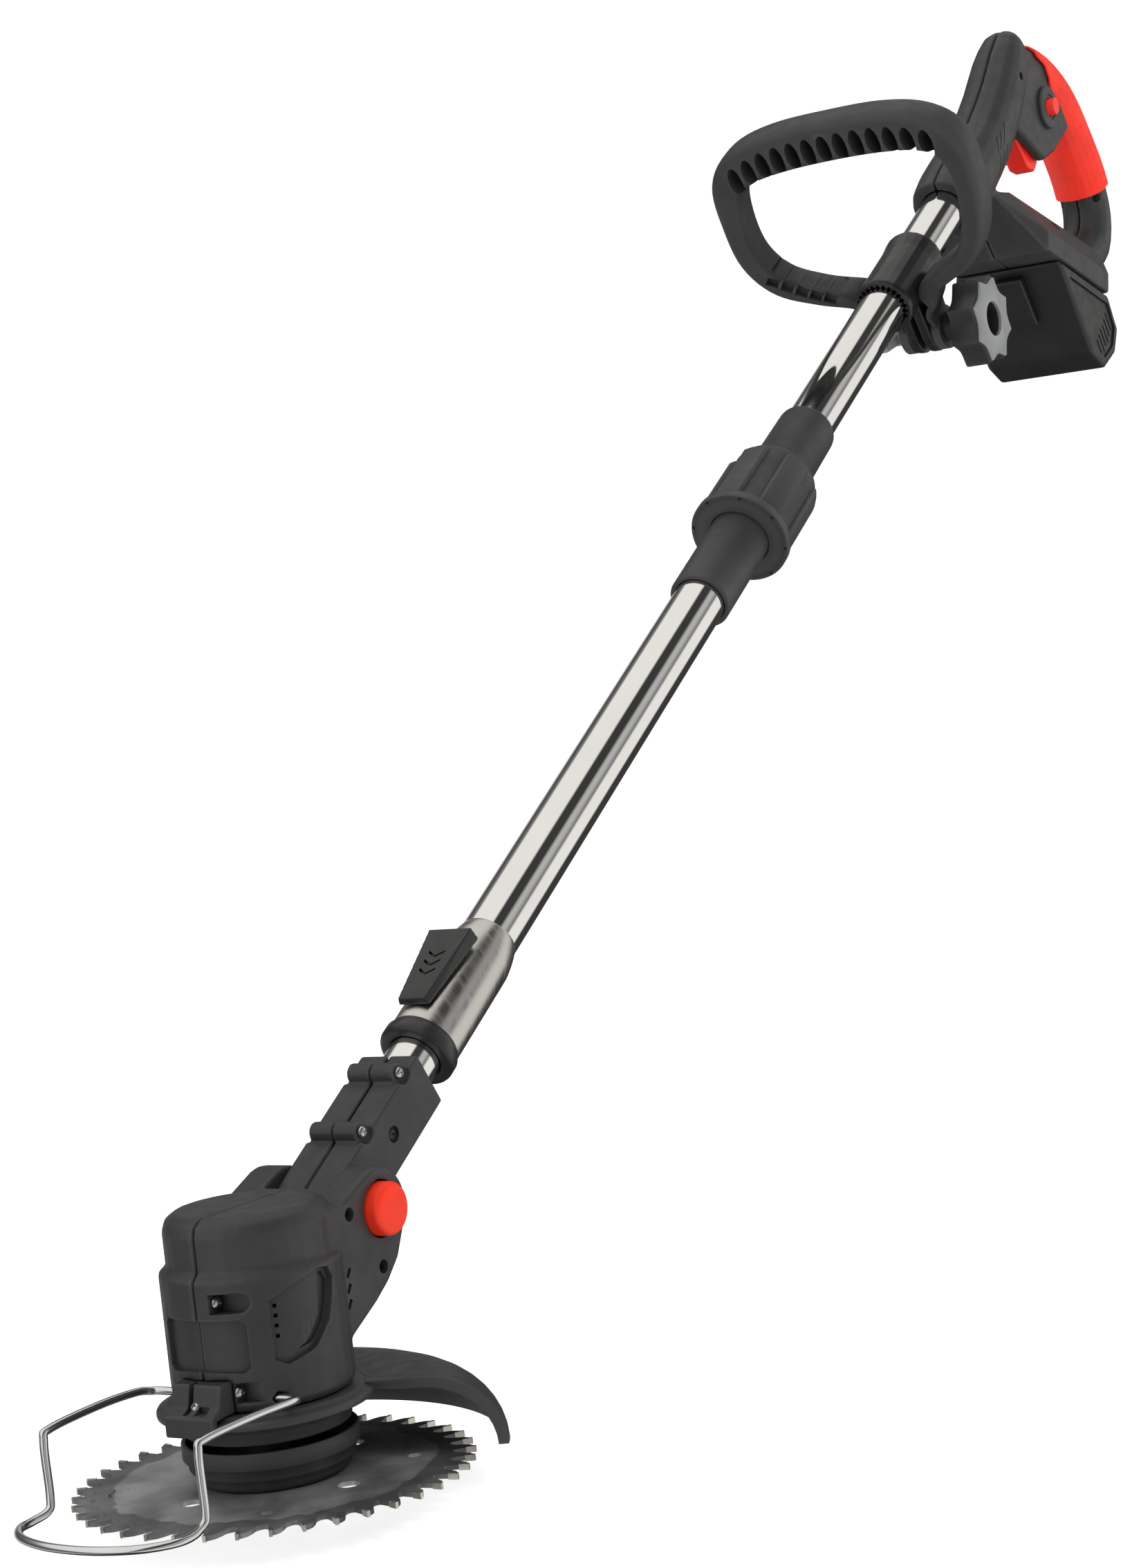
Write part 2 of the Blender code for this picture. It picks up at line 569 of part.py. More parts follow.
COLUMN = [(SOCKET_S, 0.0, 17.5, 18.5), (795.0, 0.5, 19.0, 20.0), (820.0, 2.0, 18.5, 19.0),
          (850.0, 4.0, 17.5, 18.0), (885.0, 12.0, 16.5, 17.0), (908.0, 21.0, 15.5, 15.5),
          (926.0, 28.0, 12.5, 12.0), (932.0, 30.0, 7.0, 7.0)]
HANDLE_BEND = [(915.0, 22.0, 12.0, 11.0), (932.0, 11.0, 13.2, 12.5), (950.0, -8.0, 13.8, 13.0),
               (961.0, -30.0, 14.0, 13.2), (966.0, -55.0, 14.0, 13.2), (968.0, -82.0, 14.2, 13.4),
               (962.0, -105.0, 14.5, 13.8), (945.0, -117.0, 15.0, 13.5), (922.0, -115.0, 16.0, 12.0)]
OVERMOLD = (1, 5)               # first and last grip station covered by the soft red skin
SKIN = 2.0
RIM_A, RIM_B = (819.0, -54.0), (879.0, -117.5)
RIM_UP = (0.727, 0.687)
BASE_Y = 34.0
TRIGGER = [(886.0, -10.0), (890.0, -34.0), (897.0, -40.0), (905.0, -38.0), (914.0, -26.0), (903.0, -8.0)]
TRIGGER_PULL = (0.84, 0.543)
PULL = 6.0
LOCK_S, LOCK_N, LOCK_R = 926.0, -14.0, 5.0


def ribbon(rows, extra=0.0, per_span=3):
    return [(shaft(s, n), a + extra, b + extra) for s, n, a, b in smooth_path(rows, per_span)]


def skin(name, room, look):
    """The soft grip's solid; room makes it the space that the shells leave for it."""
    path = ribbon(HANDLE_BEND)
    rows = path[OVERMOLD[0] * 3:OVERMOLD[1] * 3 + 2]
    for end, inner in ((0, 1), (-1, -2)):
        outward = (rows[end][0] - rows[inner][0]).normalized()
        rows[end] = (rows[end][0] + outward * room, rows[end][1], rows[end][2])
    made = swept(name, [(c, a + SKIN + room, b + SKIN + room) for c, a, b in rows], look, 20, 2.3)
    longer = path[OVERMOLD[0] * 3 - 1:OVERMOLD[1] * 3 + 3]
    inner = [(c, a + GAP - room, b + GAP - room) for c, a, b in longer]
    cut(made, swept("core", inner, look, 16, 2.3))
    edge = 940.0 - room
    low = -47.0 + room
    opening = [(850.0, 60.0), (912.0 - room, 60.0), (edge, 6.0), (edge, low), (850.0, low)]
    return cut(made, slab("opening", opening, -40.0, 40.0, look, shaft))


def handle_body():
    """The whole rear handle before it is split into its two shells."""
    body = swept("handle", ribbon(COLUMN, 0.0, 2), BLACK, 16, 2.5)
    join(body, swept("bend", ribbon(HANDLE_BEND, 0.0), BLACK, 16, 2.3))
    web = [(868.0, 4.0), (880.0, -4.0), (901.0, -36.0), (920.0, -40.0), (950.0, -40.0), (950.0, -10.0),
           (925.0, 18.0), (890.0, 12.0)]
    join(body, slab("web", web, -13.0, 13.0, BLACK, shaft, 2.0))
    corners = []
    for s, n in (RIM_A, RIM_B):
        for lift in (0.0, 12.0):
            corners += [shaft(s + RIM_UP[0] * lift, n + RIM_UP[1] * lift, y) for y in (-BASE_Y, BASE_Y)]
    for s, n in ((812.0, -8.0), (836.0, -22.0), (922.0, -108.0), (930.0, -124.0), (905.0, -126.0)):
        corners += [shaft(s, n, y) for y in (-15.0, 15.0)]
    join(body, hull("base", corners, BLACK))
    cut(body, skin("skin_room", GAP, BLACK))
    cut(body, disc("socket", TUBE_R + GAP, SOCKET_S - 20, SOCKET_S + SOCKET_DEPTH, BLACK, PIVOT, ALONG, 28))
    grown = []
    for move in (0.0, PULL + 1.0):
        for a, b in TRIGGER:
            s, n = a + TRIGGER_PULL[0] * move, b + TRIGGER_PULL[1] * move
            grown += [shaft(s + ds, n + dn, y) for ds in (-0.5, 0.5) for dn in (-0.5, 0.5) for y in (-6.9, 6.9)]
    cut(body, hull("pocket", grown, BLACK))
    cut(body, disc("lock_hole", LOCK_R + 0.4, -40.0, 40.0, BLACK, shaft(LOCK_S, LOCK_N), SIDE, 20))
    cut(body, slab("switch_room", box(856.0, 894.0, -3.0, 17.0), -8.4, 8.4, BLACK, shaft))
    cut(body, slab("terminal_room", box(843.0, 852.0, -120.0, -50.0), -20.4, 20.4, BLACK, shaft))
    return body


def split_handle():
    body = handle_body()
    halves = []
    for name, sign in (("handle_shell_left", 1), ("handle_shell_right", -1)):
        half = bpy.data.objects.new(name, body.data.copy())
        half.data.name = name
        bpy.context.scene.collection.objects.link(half)
        low, high = sorted((sign * 0.15, sign * 90.0))
        keep = slab("keep", box(600.0, 1100.0, -250.0, 200.0), low, high, BLACK, shaft)
        halves.append(combine(half, keep, "INTERSECT"))
    bpy.data.objects.remove(body, do_unlink=True)
    return halves


def grip_overmold():
    """Soft skin over the back of the grip, open on the trigger's side."""
    return skin("grip_overmold", 0.0, RED)


def battery_outline(inset):
    """The pack seen from the side, its top parallel to the rim of the handle's foot."""
    return [(829.0 + inset, -66.0 - 1.3 * inset), (831.0 + inset, -131.0), (841.0 + inset, -147.0 + inset),
            (862.0, -149.0 + inset), (876.0 - inset, -141.0 + inset), (878.0 - inset, -118.5 - inset)]


def battery_parts():
    case = slab("battery_case", battery_outline(0.0), -BASE_Y, BASE_Y, BLACK, shaft, 1.6)
    room = slab("room", battery_outline(2.4), -BASE_Y + 2.4, BASE_Y - 2.4, BLACK, shaft)
    cut(case, room)
    cut(case, slab("slot", box(842.0, 853.0, -104.0, -40.0), -21.4, 21.4, BLACK, shaft))
    cells = [(838.0, -102.0), (838.0, -130.0), (846.0, -142.0), (861.0, -144.0), (871.0, -137.0),
             (872.0, -126.0), (850.0, -107.0)]
    core = slab("battery_core", cells, -29.0, 29.0, GREY, shaft, 1.0)
    return [case, core]


def rear_parts():
    return [
        slab("trigger", TRIGGER, -6.4, 6.4, RED, shaft, 1.0),
        disc("lock_off_button", LOCK_R, -16.6, 19.6, RED, shaft(LOCK_S, LOCK_N), SIDE, 20),
        slab("switch_unit", box(857.0, 893.0, -2.0, 16.0), -7.8, 7.8, GLOSS_BLACK, shaft, 0.6),
        slab("terminal_block", box(843.5, 851.5, -100.0, -52.0), -20.0, 20.0, GREY, shaft),
    ]


def battery_latch():
    """Press button standing on the pack's front face."""
    outline = [(823.2, -72.0), (828.6, -72.0), (829.6, -104.0), (825.8, -104.0)]
    return slab("battery_latch", outline, -9.0, 9.0, BLACK, shaft, 0.8)


def build():
    for made in head_parts() + spin_parts():
        set_origin(made, CENTRE if made.name != "tilt_pin" else PIVOT)
    set_origin(wire_guard(), Vector((WIRE_X, 0.0, WIRE_Z)))
    set_origin(tilt_button("tilt_button_left", 1), PIVOT)
    set_origin(tilt_button("tilt_button_right", -1), PIVOT)
    for name, y, z in HOUSING_SCREWS:
        screw(name, Vector((SCREW_X, y, z)), SIDE)
    neck_half("neck_left", 1)
    neck_half("neck_right", -1)
    for name, station in zip(("neck_screw_lower", "neck_screw_upper"), NECK_SCREWS):
        screw(name, shaft(station, NECK_N + 1.0, SCREW_SEAT + GAP), SIDE)
    ring("inner_tube", 9.8, INNER_R, 21.0, 330.0, CHROME, PIVOT, ALONG, 28)
    pole_parts()
    set_origin(release_button(), shaft(118.0, BELL_R))
    set_origin(union_nut(), shaft(UNION_LOW, 0.0))
    set_origin(aux_clamp(), shaft(CLAMP_LOW, 0.0))
    bolt = disc("clamp_bolt", 3.0, -28.0, 30.0, ZINC, shaft(BOLT_S, BOLT_N), SIDE, 16)
    for made in (aux_handle(), clamp_knob(), wing_nut(), bolt):
        set_origin(made, shaft(BOLT_S, BOLT_N))
    split_handle()
    grip_overmold()
    for made in rear_parts() + battery_parts() + [battery_latch()]:
        set_origin(made, GRIP)


build()
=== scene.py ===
"""Looks of the cordless string trimmer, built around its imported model.

Sizes in this file are millimetres from the blade's centre, turned into the model's metres by place().
Stations and heights along the pole are measured from the head's pivot.
"""

import math

import bmesh
import bpy
from mathutils import Matrix, Vector


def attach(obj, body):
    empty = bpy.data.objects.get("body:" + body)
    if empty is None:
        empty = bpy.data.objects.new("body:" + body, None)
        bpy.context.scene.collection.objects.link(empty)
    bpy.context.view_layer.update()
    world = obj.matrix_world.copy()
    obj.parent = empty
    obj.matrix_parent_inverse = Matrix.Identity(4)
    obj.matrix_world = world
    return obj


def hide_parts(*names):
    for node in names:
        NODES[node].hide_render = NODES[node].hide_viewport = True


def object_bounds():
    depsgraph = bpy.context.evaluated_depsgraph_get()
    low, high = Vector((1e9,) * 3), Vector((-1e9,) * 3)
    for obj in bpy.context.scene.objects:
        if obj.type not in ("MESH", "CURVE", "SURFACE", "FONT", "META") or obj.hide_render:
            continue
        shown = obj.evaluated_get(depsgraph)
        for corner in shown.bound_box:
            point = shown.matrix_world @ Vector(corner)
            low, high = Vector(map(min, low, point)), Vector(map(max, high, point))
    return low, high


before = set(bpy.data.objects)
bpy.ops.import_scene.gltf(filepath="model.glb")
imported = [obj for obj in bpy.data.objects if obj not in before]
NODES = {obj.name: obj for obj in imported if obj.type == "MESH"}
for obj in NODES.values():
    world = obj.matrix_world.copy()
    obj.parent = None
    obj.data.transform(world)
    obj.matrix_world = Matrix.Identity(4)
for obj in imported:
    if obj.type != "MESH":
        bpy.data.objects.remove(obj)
cad_low, cad_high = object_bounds()

MM = 0.001
SHAFT_TILT = math.radians(32.6)
ALONG = Vector((-math.cos(SHAFT_TILT), 0.0, math.sin(SHAFT_TILT)))
ACROSS = Vector((math.sin(SHAFT_TILT), 0.0, math.cos(SHAFT_TILT)))
SIDE = Vector((0.0, 1.0, 0.0))
UP = Vector((0.0, 0.0, 1.0))
FORWARD = Vector((1.0, 0.0, 0.0))
CENTRE = Vector((0.0, 0.0, 0.0))
PIVOT = Vector((-45.0, 0.0, 90.0))
GRIP = PIVOT + ALONG * 965.0 - ACROSS * 50.0


def shaft(s, n, y=0.0):
    """Point at a station along the pole and a height across it."""
    return PIVOT + ALONG * s + ACROSS * n + SIDE * y


# ---- materials -------------------------------------------------------------------------------

def nodes_of(name):
    """New material with its node tree and its main shader."""
    look = bpy.data.materials.new(name)
    look.use_nodes = True
    tree = look.node_tree
    return look, tree, tree.nodes["Principled BSDF"]


def noise(tree, scale, detail=4.0, stretch=None):
    where = tree.nodes.new("ShaderNodeTexCoord")
    made = tree.nodes.new("ShaderNodeTexNoise")
    made.inputs["Scale"].default_value = scale
    made.inputs["Detail"].default_value = detail
    source = where.outputs["Object"]
    if stretch:
        mapping = tree.nodes.new("ShaderNodeMapping")
        mapping.inputs["Rotation"].default_value = stretch[0]
        mapping.inputs["Scale"].default_value = stretch[1]
        tree.links.new(source, mapping.inputs["Vector"])
        source = mapping.outputs["Vector"]
    tree.links.new(source, made.inputs["Vector"])
    return made.outputs["Fac"]


def spread(tree, value, low, high, start=0.3, stop=0.7):
    made = tree.nodes.new("ShaderNodeMapRange")
    made.inputs["From Min"].default_value = start
    made.inputs["From Max"].default_value = stop
    made.inputs["To Min"].default_value = low
    made.inputs["To Max"].default_value = high
    tree.links.new(value, made.inputs["Value"])
    return made.outputs["Result"]


def ramp(tree, value, stops):
    made = tree.nodes.new("ShaderNodeValToRGB")
    line = made.color_ramp
    while len(line.elements) < len(stops):
        line.elements.new(0.5)
    for element, (position, colour) in zip(line.elements, stops):
        element.position = position
        element.color = (*colour, 1.0)
    tree.links.new(value, made.inputs["Fac"])
    return made.outputs["Color"]


def mixed(tree, share, first, second):
    made = tree.nodes.new("ShaderNodeMix")
    made.data_type = "RGBA"
    tree.links.new(share, made.inputs["Factor"])
    for socket, source in ((made.inputs["A"], first), (made.inputs["B"], second)):
        if isinstance(source, tuple):
            socket.default_value = (*source, 1.0)
        else:
            tree.links.new(source, socket)
    return made.outputs["Result"]


def bump(tree, shader, height, strength, distance):
    made = tree.nodes.new("ShaderNodeBump")
    made.inputs["Strength"].default_value = strength
    made.inputs["Distance"].default_value = distance
    tree.links.new(height, made.inputs["Height"])
    tree.links.new(made.outputs["Normal"], shader.inputs["Normal"])


def plastic(name, colour, roughness, grain=2600.0, depth=0.00005, pale=1.35, strength=0.35):
    """Moulded plastic with a fine spark-eroded grain, faint clouding and paler worn edges."""
    look, tree, shader = nodes_of(name)
    clouds = noise(tree, 45.0)
    dark = tuple(c * 0.86 for c in colour)
    light = tuple(min(1.0, c * 1.14) for c in colour)
    base = ramp(tree, clouds, [(0.3, dark), (0.7, light)])
    geometry = tree.nodes.new("ShaderNodeNewGeometry")
    edge = spread(tree, geometry.outputs["Pointiness"], 0.0, 1.0, 0.505, 0.56)
    worn = tuple(min(1.0, c * pale + 0.006) for c in colour)
    tree.links.new(mixed(tree, edge, base, worn), shader.inputs["Base Color"])
    tree.links.new(spread(tree, noise(tree, 160.0), roughness - 0.05, roughness + 0.07),
                   shader.inputs["Roughness"])
    bump(tree, shader, noise(tree, grain, 2.0), strength, depth)
    return look


def metal(name, colour, low, high, scale, stretch=None, depth=0.0, tint=0.9):
    """Bare or plated metal with roughness that varies along its finish."""
    look, tree, shader = nodes_of(name)
    shader.inputs["Metallic"].default_value = 1.0
    lines = noise(tree, scale, 5.0, stretch)
    dull = tuple(c * tint for c in colour)
    tree.links.new(ramp(tree, lines, [(0.35, dull), (0.65, colour)]), shader.inputs["Base Color"])
    tree.links.new(spread(tree, lines, low, high), shader.inputs["Roughness"])
    if depth:
        bump(tree, shader, lines, 0.3, depth)
    return look


def blade_steel():
    """Worn disc: paler bare steel in the middle, darker coating outside, fine circular scratches."""
    look, tree, shader = nodes_of("printed_blade_steel")
    shader.inputs["Metallic"].default_value = 0.6
    where = tree.nodes.new("ShaderNodeTexCoord")
    offset = tree.nodes.new("ShaderNodeVectorMath")
    offset.operation = "SUBTRACT"
    offset.inputs[1].default_value = tuple(place(CENTRE))
    tree.links.new(where.outputs["Object"], offset.inputs[0])
    length = tree.nodes.new("ShaderNodeVectorMath")
    length.operation = "LENGTH"
    tree.links.new(offset.outputs["Vector"], length.inputs[0])
    radius = length.outputs["Value"]
    breakup = spread(tree, noise(tree, 60.0, 8.0), -0.0035, 0.0035)
    total = tree.nodes.new("ShaderNodeMath")
    total.operation = "ADD"
    tree.links.new(radius, total.inputs[0])
    tree.links.new(breakup, total.inputs[1])
    outside = spread(tree, total.outputs["Value"], 0.0, 1.0, 0.0595, 0.061)
    wear = noise(tree, 38.0, 10.0)
    inner = ramp(tree, wear, [(0.36, (0.2, 0.2, 0.205)), (0.62, (0.5, 0.5, 0.505))])
    outer = ramp(tree, wear, [(0.4, (0.11, 0.11, 0.112)), (0.68, (0.26, 0.26, 0.265))])
    tree.links.new(mixed(tree, outside, inner, outer), shader.inputs["Base Color"])
    circles = tree.nodes.new("ShaderNodeTexNoise")
    circles.noise_dimensions = "1D"
    circles.inputs["Scale"].default_value = 2600.0
    tree.links.new(radius, circles.inputs["W"])
    tree.links.new(spread(tree, circles.outputs["Fac"], 0.3, 0.52), shader.inputs["Roughness"])
    bump(tree, shader, circles.outputs["Fac"], 0.25, 0.00002)
    return look


def place(point):
    """Millimetres from the blade's centre to the model's metres."""
    return (point - GRIP) * MM


POLE_TURN = (0.0, SHAFT_TILT, 0.0)
CHARCOAL = plastic("charcoal_moulded_plastic", (0.028, 0.028, 0.029), 0.5)
SATIN = plastic("satin_black_plastic", (0.012, 0.012, 0.0125), 0.33, 1500.0, 0.00002)
PACK = plastic("battery_plastic", (0.011, 0.011, 0.0115), 0.44)
SOCKET_BLACK = plastic("deep_black_plastic", (0.006, 0.006, 0.006), 0.6)
GREY = plastic("grey_knob_plastic", (0.2, 0.205, 0.21), 0.45, 2000.0, 0.00004, 1.2)
DARK_GREY = plastic("dark_knob_plastic", (0.018, 0.018, 0.0185), 0.45)
ORANGE = plastic("orange_button_plastic", (0.85, 0.024, 0.0), 0.55, 2200.0, 0.00003, 0.98)
RED = plastic("red_soft_grip", (0.9, 0.022, 0.006), 0.6, 2400.0, 0.00006, 1.0, 0.5)
RED_HARD = plastic("red_button_plastic", (0.88, 0.018, 0.006), 0.4, 1500.0, 0.00002, 1.0)
CHROME = metal("chromed_tube_finish", (0.86, 0.85, 0.83), 0.035, 0.075, 30.0, tint=0.97)
BRUSHED = metal("brushed_bell_steel", (0.66, 0.645, 0.61), 0.22, 0.38, 700.0,
                (POLE_TURN, (1.0, 0.05, 0.05)), 0.00001)
ZINC = metal("bright_zinc_finish", (0.7, 0.71, 0.72), 0.2, 0.34, 400.0, tint=0.8)
PLATED = metal("plated_wire_finish", (0.78, 0.785, 0.79), 0.14, 0.22, 90.0, tint=0.92)
STEEL = metal("bare_steel_finish", (0.45, 0.45, 0.46), 0.28, 0.45, 500.0)
CARBIDE = metal("carbide_tip_finish", (0.72, 0.7, 0.62), 0.3, 0.45, 900.0)
COPPER = metal("wound_copper_finish", (0.6, 0.28, 0.13), 0.3, 0.5, 1200.0)
BLADE = blade_steel()


# ---- mesh helpers ----------------------------------------------------------------------------

def settle(made):
    """Apply an object's modifiers."""
    bpy.context.view_layer.update()
    result = made.evaluated_get(bpy.context.evaluated_depsgraph_get())
    mesh = bpy.data.meshes.new_from_object(result)
    made.modifiers.clear()
    made.data = mesh
    return made


def shade(made, angle=38.0):
    """Smooth shading that keeps edges above an angle sharp."""
    made.data.shade_smooth()
    made.data.set_sharp_from_angle(angle=math.radians(angle))


def from_mesh(name, mesh, look=None):
    made = bpy.data.objects.new(name, mesh)
    bpy.context.scene.collection.objects.link(made)
    if look:
        made.data.materials.clear()
        made.data.materials.append(look)
    return made


def solid(name, work, look=None, angle=38.0):
    """Turn a bmesh in millimetres into an object in the model's metres."""
    bmesh.ops.recalc_face_normals(work, faces=work.faces)
    for vert in work.verts:
        vert.co = place(vert.co)
    mesh = bpy.data.meshes.new(name)
    work.to_mesh(mesh)
    work.free()
    made = from_mesh(name, mesh, look)
    shade(made, angle)
    return made


def wear(made, body, slot, *stands_for):
    """Attach a finished piece to its body and hide the model nodes it stands for."""
    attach(made, body)
    if stands_for:
        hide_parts(*stands_for)
    return made


def copied(node, look):
    """A piece of its own that starts as the node's shape."""
    return from_mesh(node + "_shape", NODES[node].data.copy(), look)


def softened(made, voxel=0.9, rounds=6):
    """Round every edge: remesh finely, then smooth."""
    remesh = made.modifiers.new("remesh", "REMESH")
    remesh.mode = "VOXEL"
    remesh.voxel_size = voxel * MM
    smoothing = made.modifiers.new("smooth", "SMOOTH")
    smoothing.factor = 0.5
    smoothing.iterations = rounds
    return settle(made)


def carve(made, work, operation="DIFFERENCE"):
    """Cut a bmesh in millimetres, made of closed solids, out of a piece."""
    cutter = solid("cutter", work)
    step = made.modifiers.new("carve", "BOOLEAN")
    step.operation = operation
    step.object = cutter
    settle(made)
    bpy.data.objects.remove(cutter, do_unlink=True)
    return made


def prism(work, near, far):
    """Closed solid between two outlines with equal point counts."""
    first = [work.verts.new(p) for p in near]
    second = [work.verts.new(p) for p in far]
    work.faces.new(list(reversed(first)))
    work.faces.new(second)
    for step in range(len(first)):
        after = (step + 1) % len(first)
        work.faces.new((first[step], first[after], second[after], second[step]))


def rod(work, base, axis, radius, low, high, sides=24):
    """Closed round bar between two heights on an axis."""
    axis = axis.normalized()
    first = axis.orthogonal().normalized()
    second = axis.cross(first)
    rows = []
    for height in (low, high):
        rows.append([base + axis * height + (first * math.cos(t) + second * math.sin(t)) * radius
                     for t in (math.tau * k / sides for k in range(sides))])
    prism(work, *rows)


def block(work, middle, axes, halves):
    """Closed box from its middle, three axes and half sizes."""
    a, b, c = (axis * half for axis, half in zip(axes, halves))
    near = [middle - c + a * i + b * j for i, j in ((-1, -1), (1, -1), (1, 1), (-1, 1))]
    prism(work, near, [p + c * 2 for p in near])


def lathed(name, profile, look, base, axis, sides=96, work=None):
    """Turn an outline of (radius, height) pairs; a profile that starts at radius 0 is a solid."""
    axis = axis.normalized()
    first = axis.orthogonal().normalized()
    second = axis.cross(first)
    own = bmesh.new() if work is None else work
    filled = profile[0][0] == 0.0
    rows = []
    for radius, height in profile[1:-1] if filled else profile:
        middle = base + axis * height
        rows.append([own.verts.new(middle + (first * math.cos(t) + second * math.sin(t)) * radius)
                     for t in (math.tau * k / sides for k in range(sides))])
    pairs = list(zip(rows, rows[1:]))
    if filled:
        own.faces.new(list(reversed(rows[0])))
        own.faces.new(rows[-1])
    else:
        pairs.append((rows[-1], rows[0]))
    for low, high in pairs:
        for step in range(sides):
            after = (step + 1) % sides
            own.faces.new((low[step], low[after], high[after], high[step]))
    return solid(name, own, look) if work is None else None


def stack(work, rows):
    """Closed skin over loops of vertices laid one after the other."""
    for low, high in zip(rows, rows[1:]):
        for index in range(len(low)):
            after = (index + 1) % len(low)
            work.faces.new((low[index], low[after], high[after], high[index]))
    work.faces.new(list(reversed(rows[0])))
    work.faces.new(rows[-1])


def smooth_path(points, per_span):
    """Curve through every point, as a list with per_span steps between neighbours."""
    ends = [points[0], *points, points[-1]]
    path = []
    for index in range(1, len(ends) - 2):
        before, start, stop, after = ends[index - 1:index + 3]
        for step in range(per_span):
            t = step / per_span
            weights = (-0.5 * t + t * t - 0.5 * t ** 3, 1 - 2.5 * t * t + 1.5 * t ** 3,
                       0.5 * t + 2 * t * t - 1.5 * t ** 3, -0.5 * t * t + 0.5 * t ** 3)
            path.append(tuple(sum(w * v for w, v in zip(weights, row)) for row in zip(before, start,
                                                                                      stop, after)))
    path.append(tuple(points[-1]))
    return path


def swept(name, path, look, sides=24, power=2.0, wide=SIDE):
    """Sweep a rounded section along (point, half width, half height) rows."""
    work = bmesh.new()
    rows = []
    for index, (centre, half_wide, half_high) in enumerate(path):
        before = path[max(index - 1, 0)][0]
        after = path[min(index + 1, len(path) - 1)][0]
        ahead = (after - before).normalized()
        across = (wide - ahead * wide.dot(ahead)).normalized()
        upward = ahead.cross(across)
        loop = []
        for step in range(sides):
            angle = math.tau * (step + 0.5) / sides
            c, s = math.cos(angle), math.sin(angle)
            a = math.copysign(abs(c) ** (2.0 / power), c) * half_wide
            b = math.copysign(abs(s) ** (2.0 / power), s) * half_high
            loop.append(work.verts.new(centre + across * a + upward * b))
        rows.append(loop)
    stack(work, rows)
    return solid(name, work, look, 60.0)


def screw_head(name, seat, axis, body, node, look=None, radius=2.3):
    """Domed pan head with a cross recess."""
    profile = [(0.0, 0.0), (radius, 0.0), (radius + 0.05, 0.5), (radius * 0.9, 1.1),
               (radius * 0.62, 1.62), (radius * 0.3, 1.82),
               (0.0, 1.85)]
    made = lathed(name, profile, look or ZINC, seat, axis, 40)
    work = bmesh.new()
    first = axis.orthogonal().normalized()
    second = axis.cross(first)
    turn = first * math.cos(0.4) + second * math.sin(0.4)
    other = axis.cross(turn)
    near, far = [], []
    for arm, wide in ((turn, other), (other, -turn), (-turn, -other), (-other, turn)):
        for a, b in ((0.32, 0.32), (1.25, 0.32), (1.25, -0.32)):
            near.append(seat + arm * a * 0.55 + wide * b * 0.8 + axis * 0.7)
            far.append(seat + arm * a + wide * b + axis * 2.4)
    order = [0, 1, 2, 9, 10, 11, 6, 7, 8, 3, 4, 5]
    prism(work, [near[k] for k in order], [far[k] for k in order])
    carve(made, work)
    shade(made, 30.0)
    return wear(made, body, "bright_zinc", *([node] if node else []))


def arc(centre_a, centre_b, radius, start, stop, steps):
    """Points on a round stretch of an outline, angles in degrees."""
    angles = [math.radians(start + (stop - start) * step / steps) for step in range(steps + 1)]
    return [(centre_a + radius * math.cos(t), centre_b + radius * math.sin(t)) for t in angles]


# ---- cutting head ----------------------------------------------------------------------------

SCREW_SEATS = ((6.4, 72.0), (12.4, 39.5))
TROUGH_R = 3.7
# Outlines on the barrel: (degrees from straight ahead, height).
CUT_REACH = 38.0
FRONT_PANEL = [(0.0, 47.5), (31.0, 46.5), (33.0, 48.5), (33.0, 64.0), (31.0, 66.0), (0.0, 66.0)]
SIDE_PANEL = [(48.0, 50.0), (48.0, 71.5), (62.0, 75.5), (84.0, 79.5), (94.0, 78.5), (98.0, 74.0),
              (92.0, 61.0), (76.0, 51.0),
              (56.0, 47.5)]
CRESCENT = [(66.0, 52.0), (76.0, 53.0), (89.5, 61.0), (95.5, 73.5), (92.0, 77.0), (86.0, 77.5),
            (88.0, 73.0), (83.0, 62.0),
            (73.0, 54.5)]
DOT_HEIGHTS = (58.0, 61.8, 65.4, 69.0)
CHEEK_HOLES = ((-24.6, 92.2), (-41.8, 68.6))
TEETH = 40
BORE_R = 4.4
SCOOP_START, SCOOP_SWEEP, SCOOP_STEPS = 118.2, 123.6, 72


def curved_cut(work, outline, inner, outer, sign=1):
    """Pocket in the barrel with a floor of constant radius, as strips that follow the curve."""
    low = min(a for a, _ in outline)
    high = max(a for a, _ in outline)
    count = max(2, round((high - low) / 4.0))
    tops, bottoms = [], []
    for step in range(count + 1):
        angle = low + (high - low) * step / count
        heights = []
        for index, (a0, z0) in enumerate(outline):
            a1, z1 = outline[(index + 1) % len(outline)]
            if min(a0, a1) - 1e-6 <= angle <= max(a0, a1) + 1e-6:
                if abs(a1 - a0) < 1e-9:
                    heights += [z0, z1]
                else:
                    heights.append(z0 + (z1 - z0) * (angle - a0) / (a1 - a0))
        tops.append((angle, max(heights)))
        bottoms.append((angle, min(heights)))
    rings = []
    for (angle, top), (_, bottom) in zip(tops, bottoms):
        if top - bottom < 0.2:
            top += 0.1
            bottom -= 0.1
        t = math.radians(angle)
        corners = ((inner, bottom), (outer, bottom), (outer, top), (inner, top))
        rings.append([work.verts.new(Vector((r * math.cos(t), sign * r * math.sin(t), z))) for r,
                      z in corners])
    for near, far in zip(rings, rings[1:]):
        for step in range(4):
            after = (step + 1) % 4
            work.faces.new((near[step], near[after], far[after], far[step]))
    work.faces.new(rings[0])
    work.faces.new(list(reversed(rings[-1])))


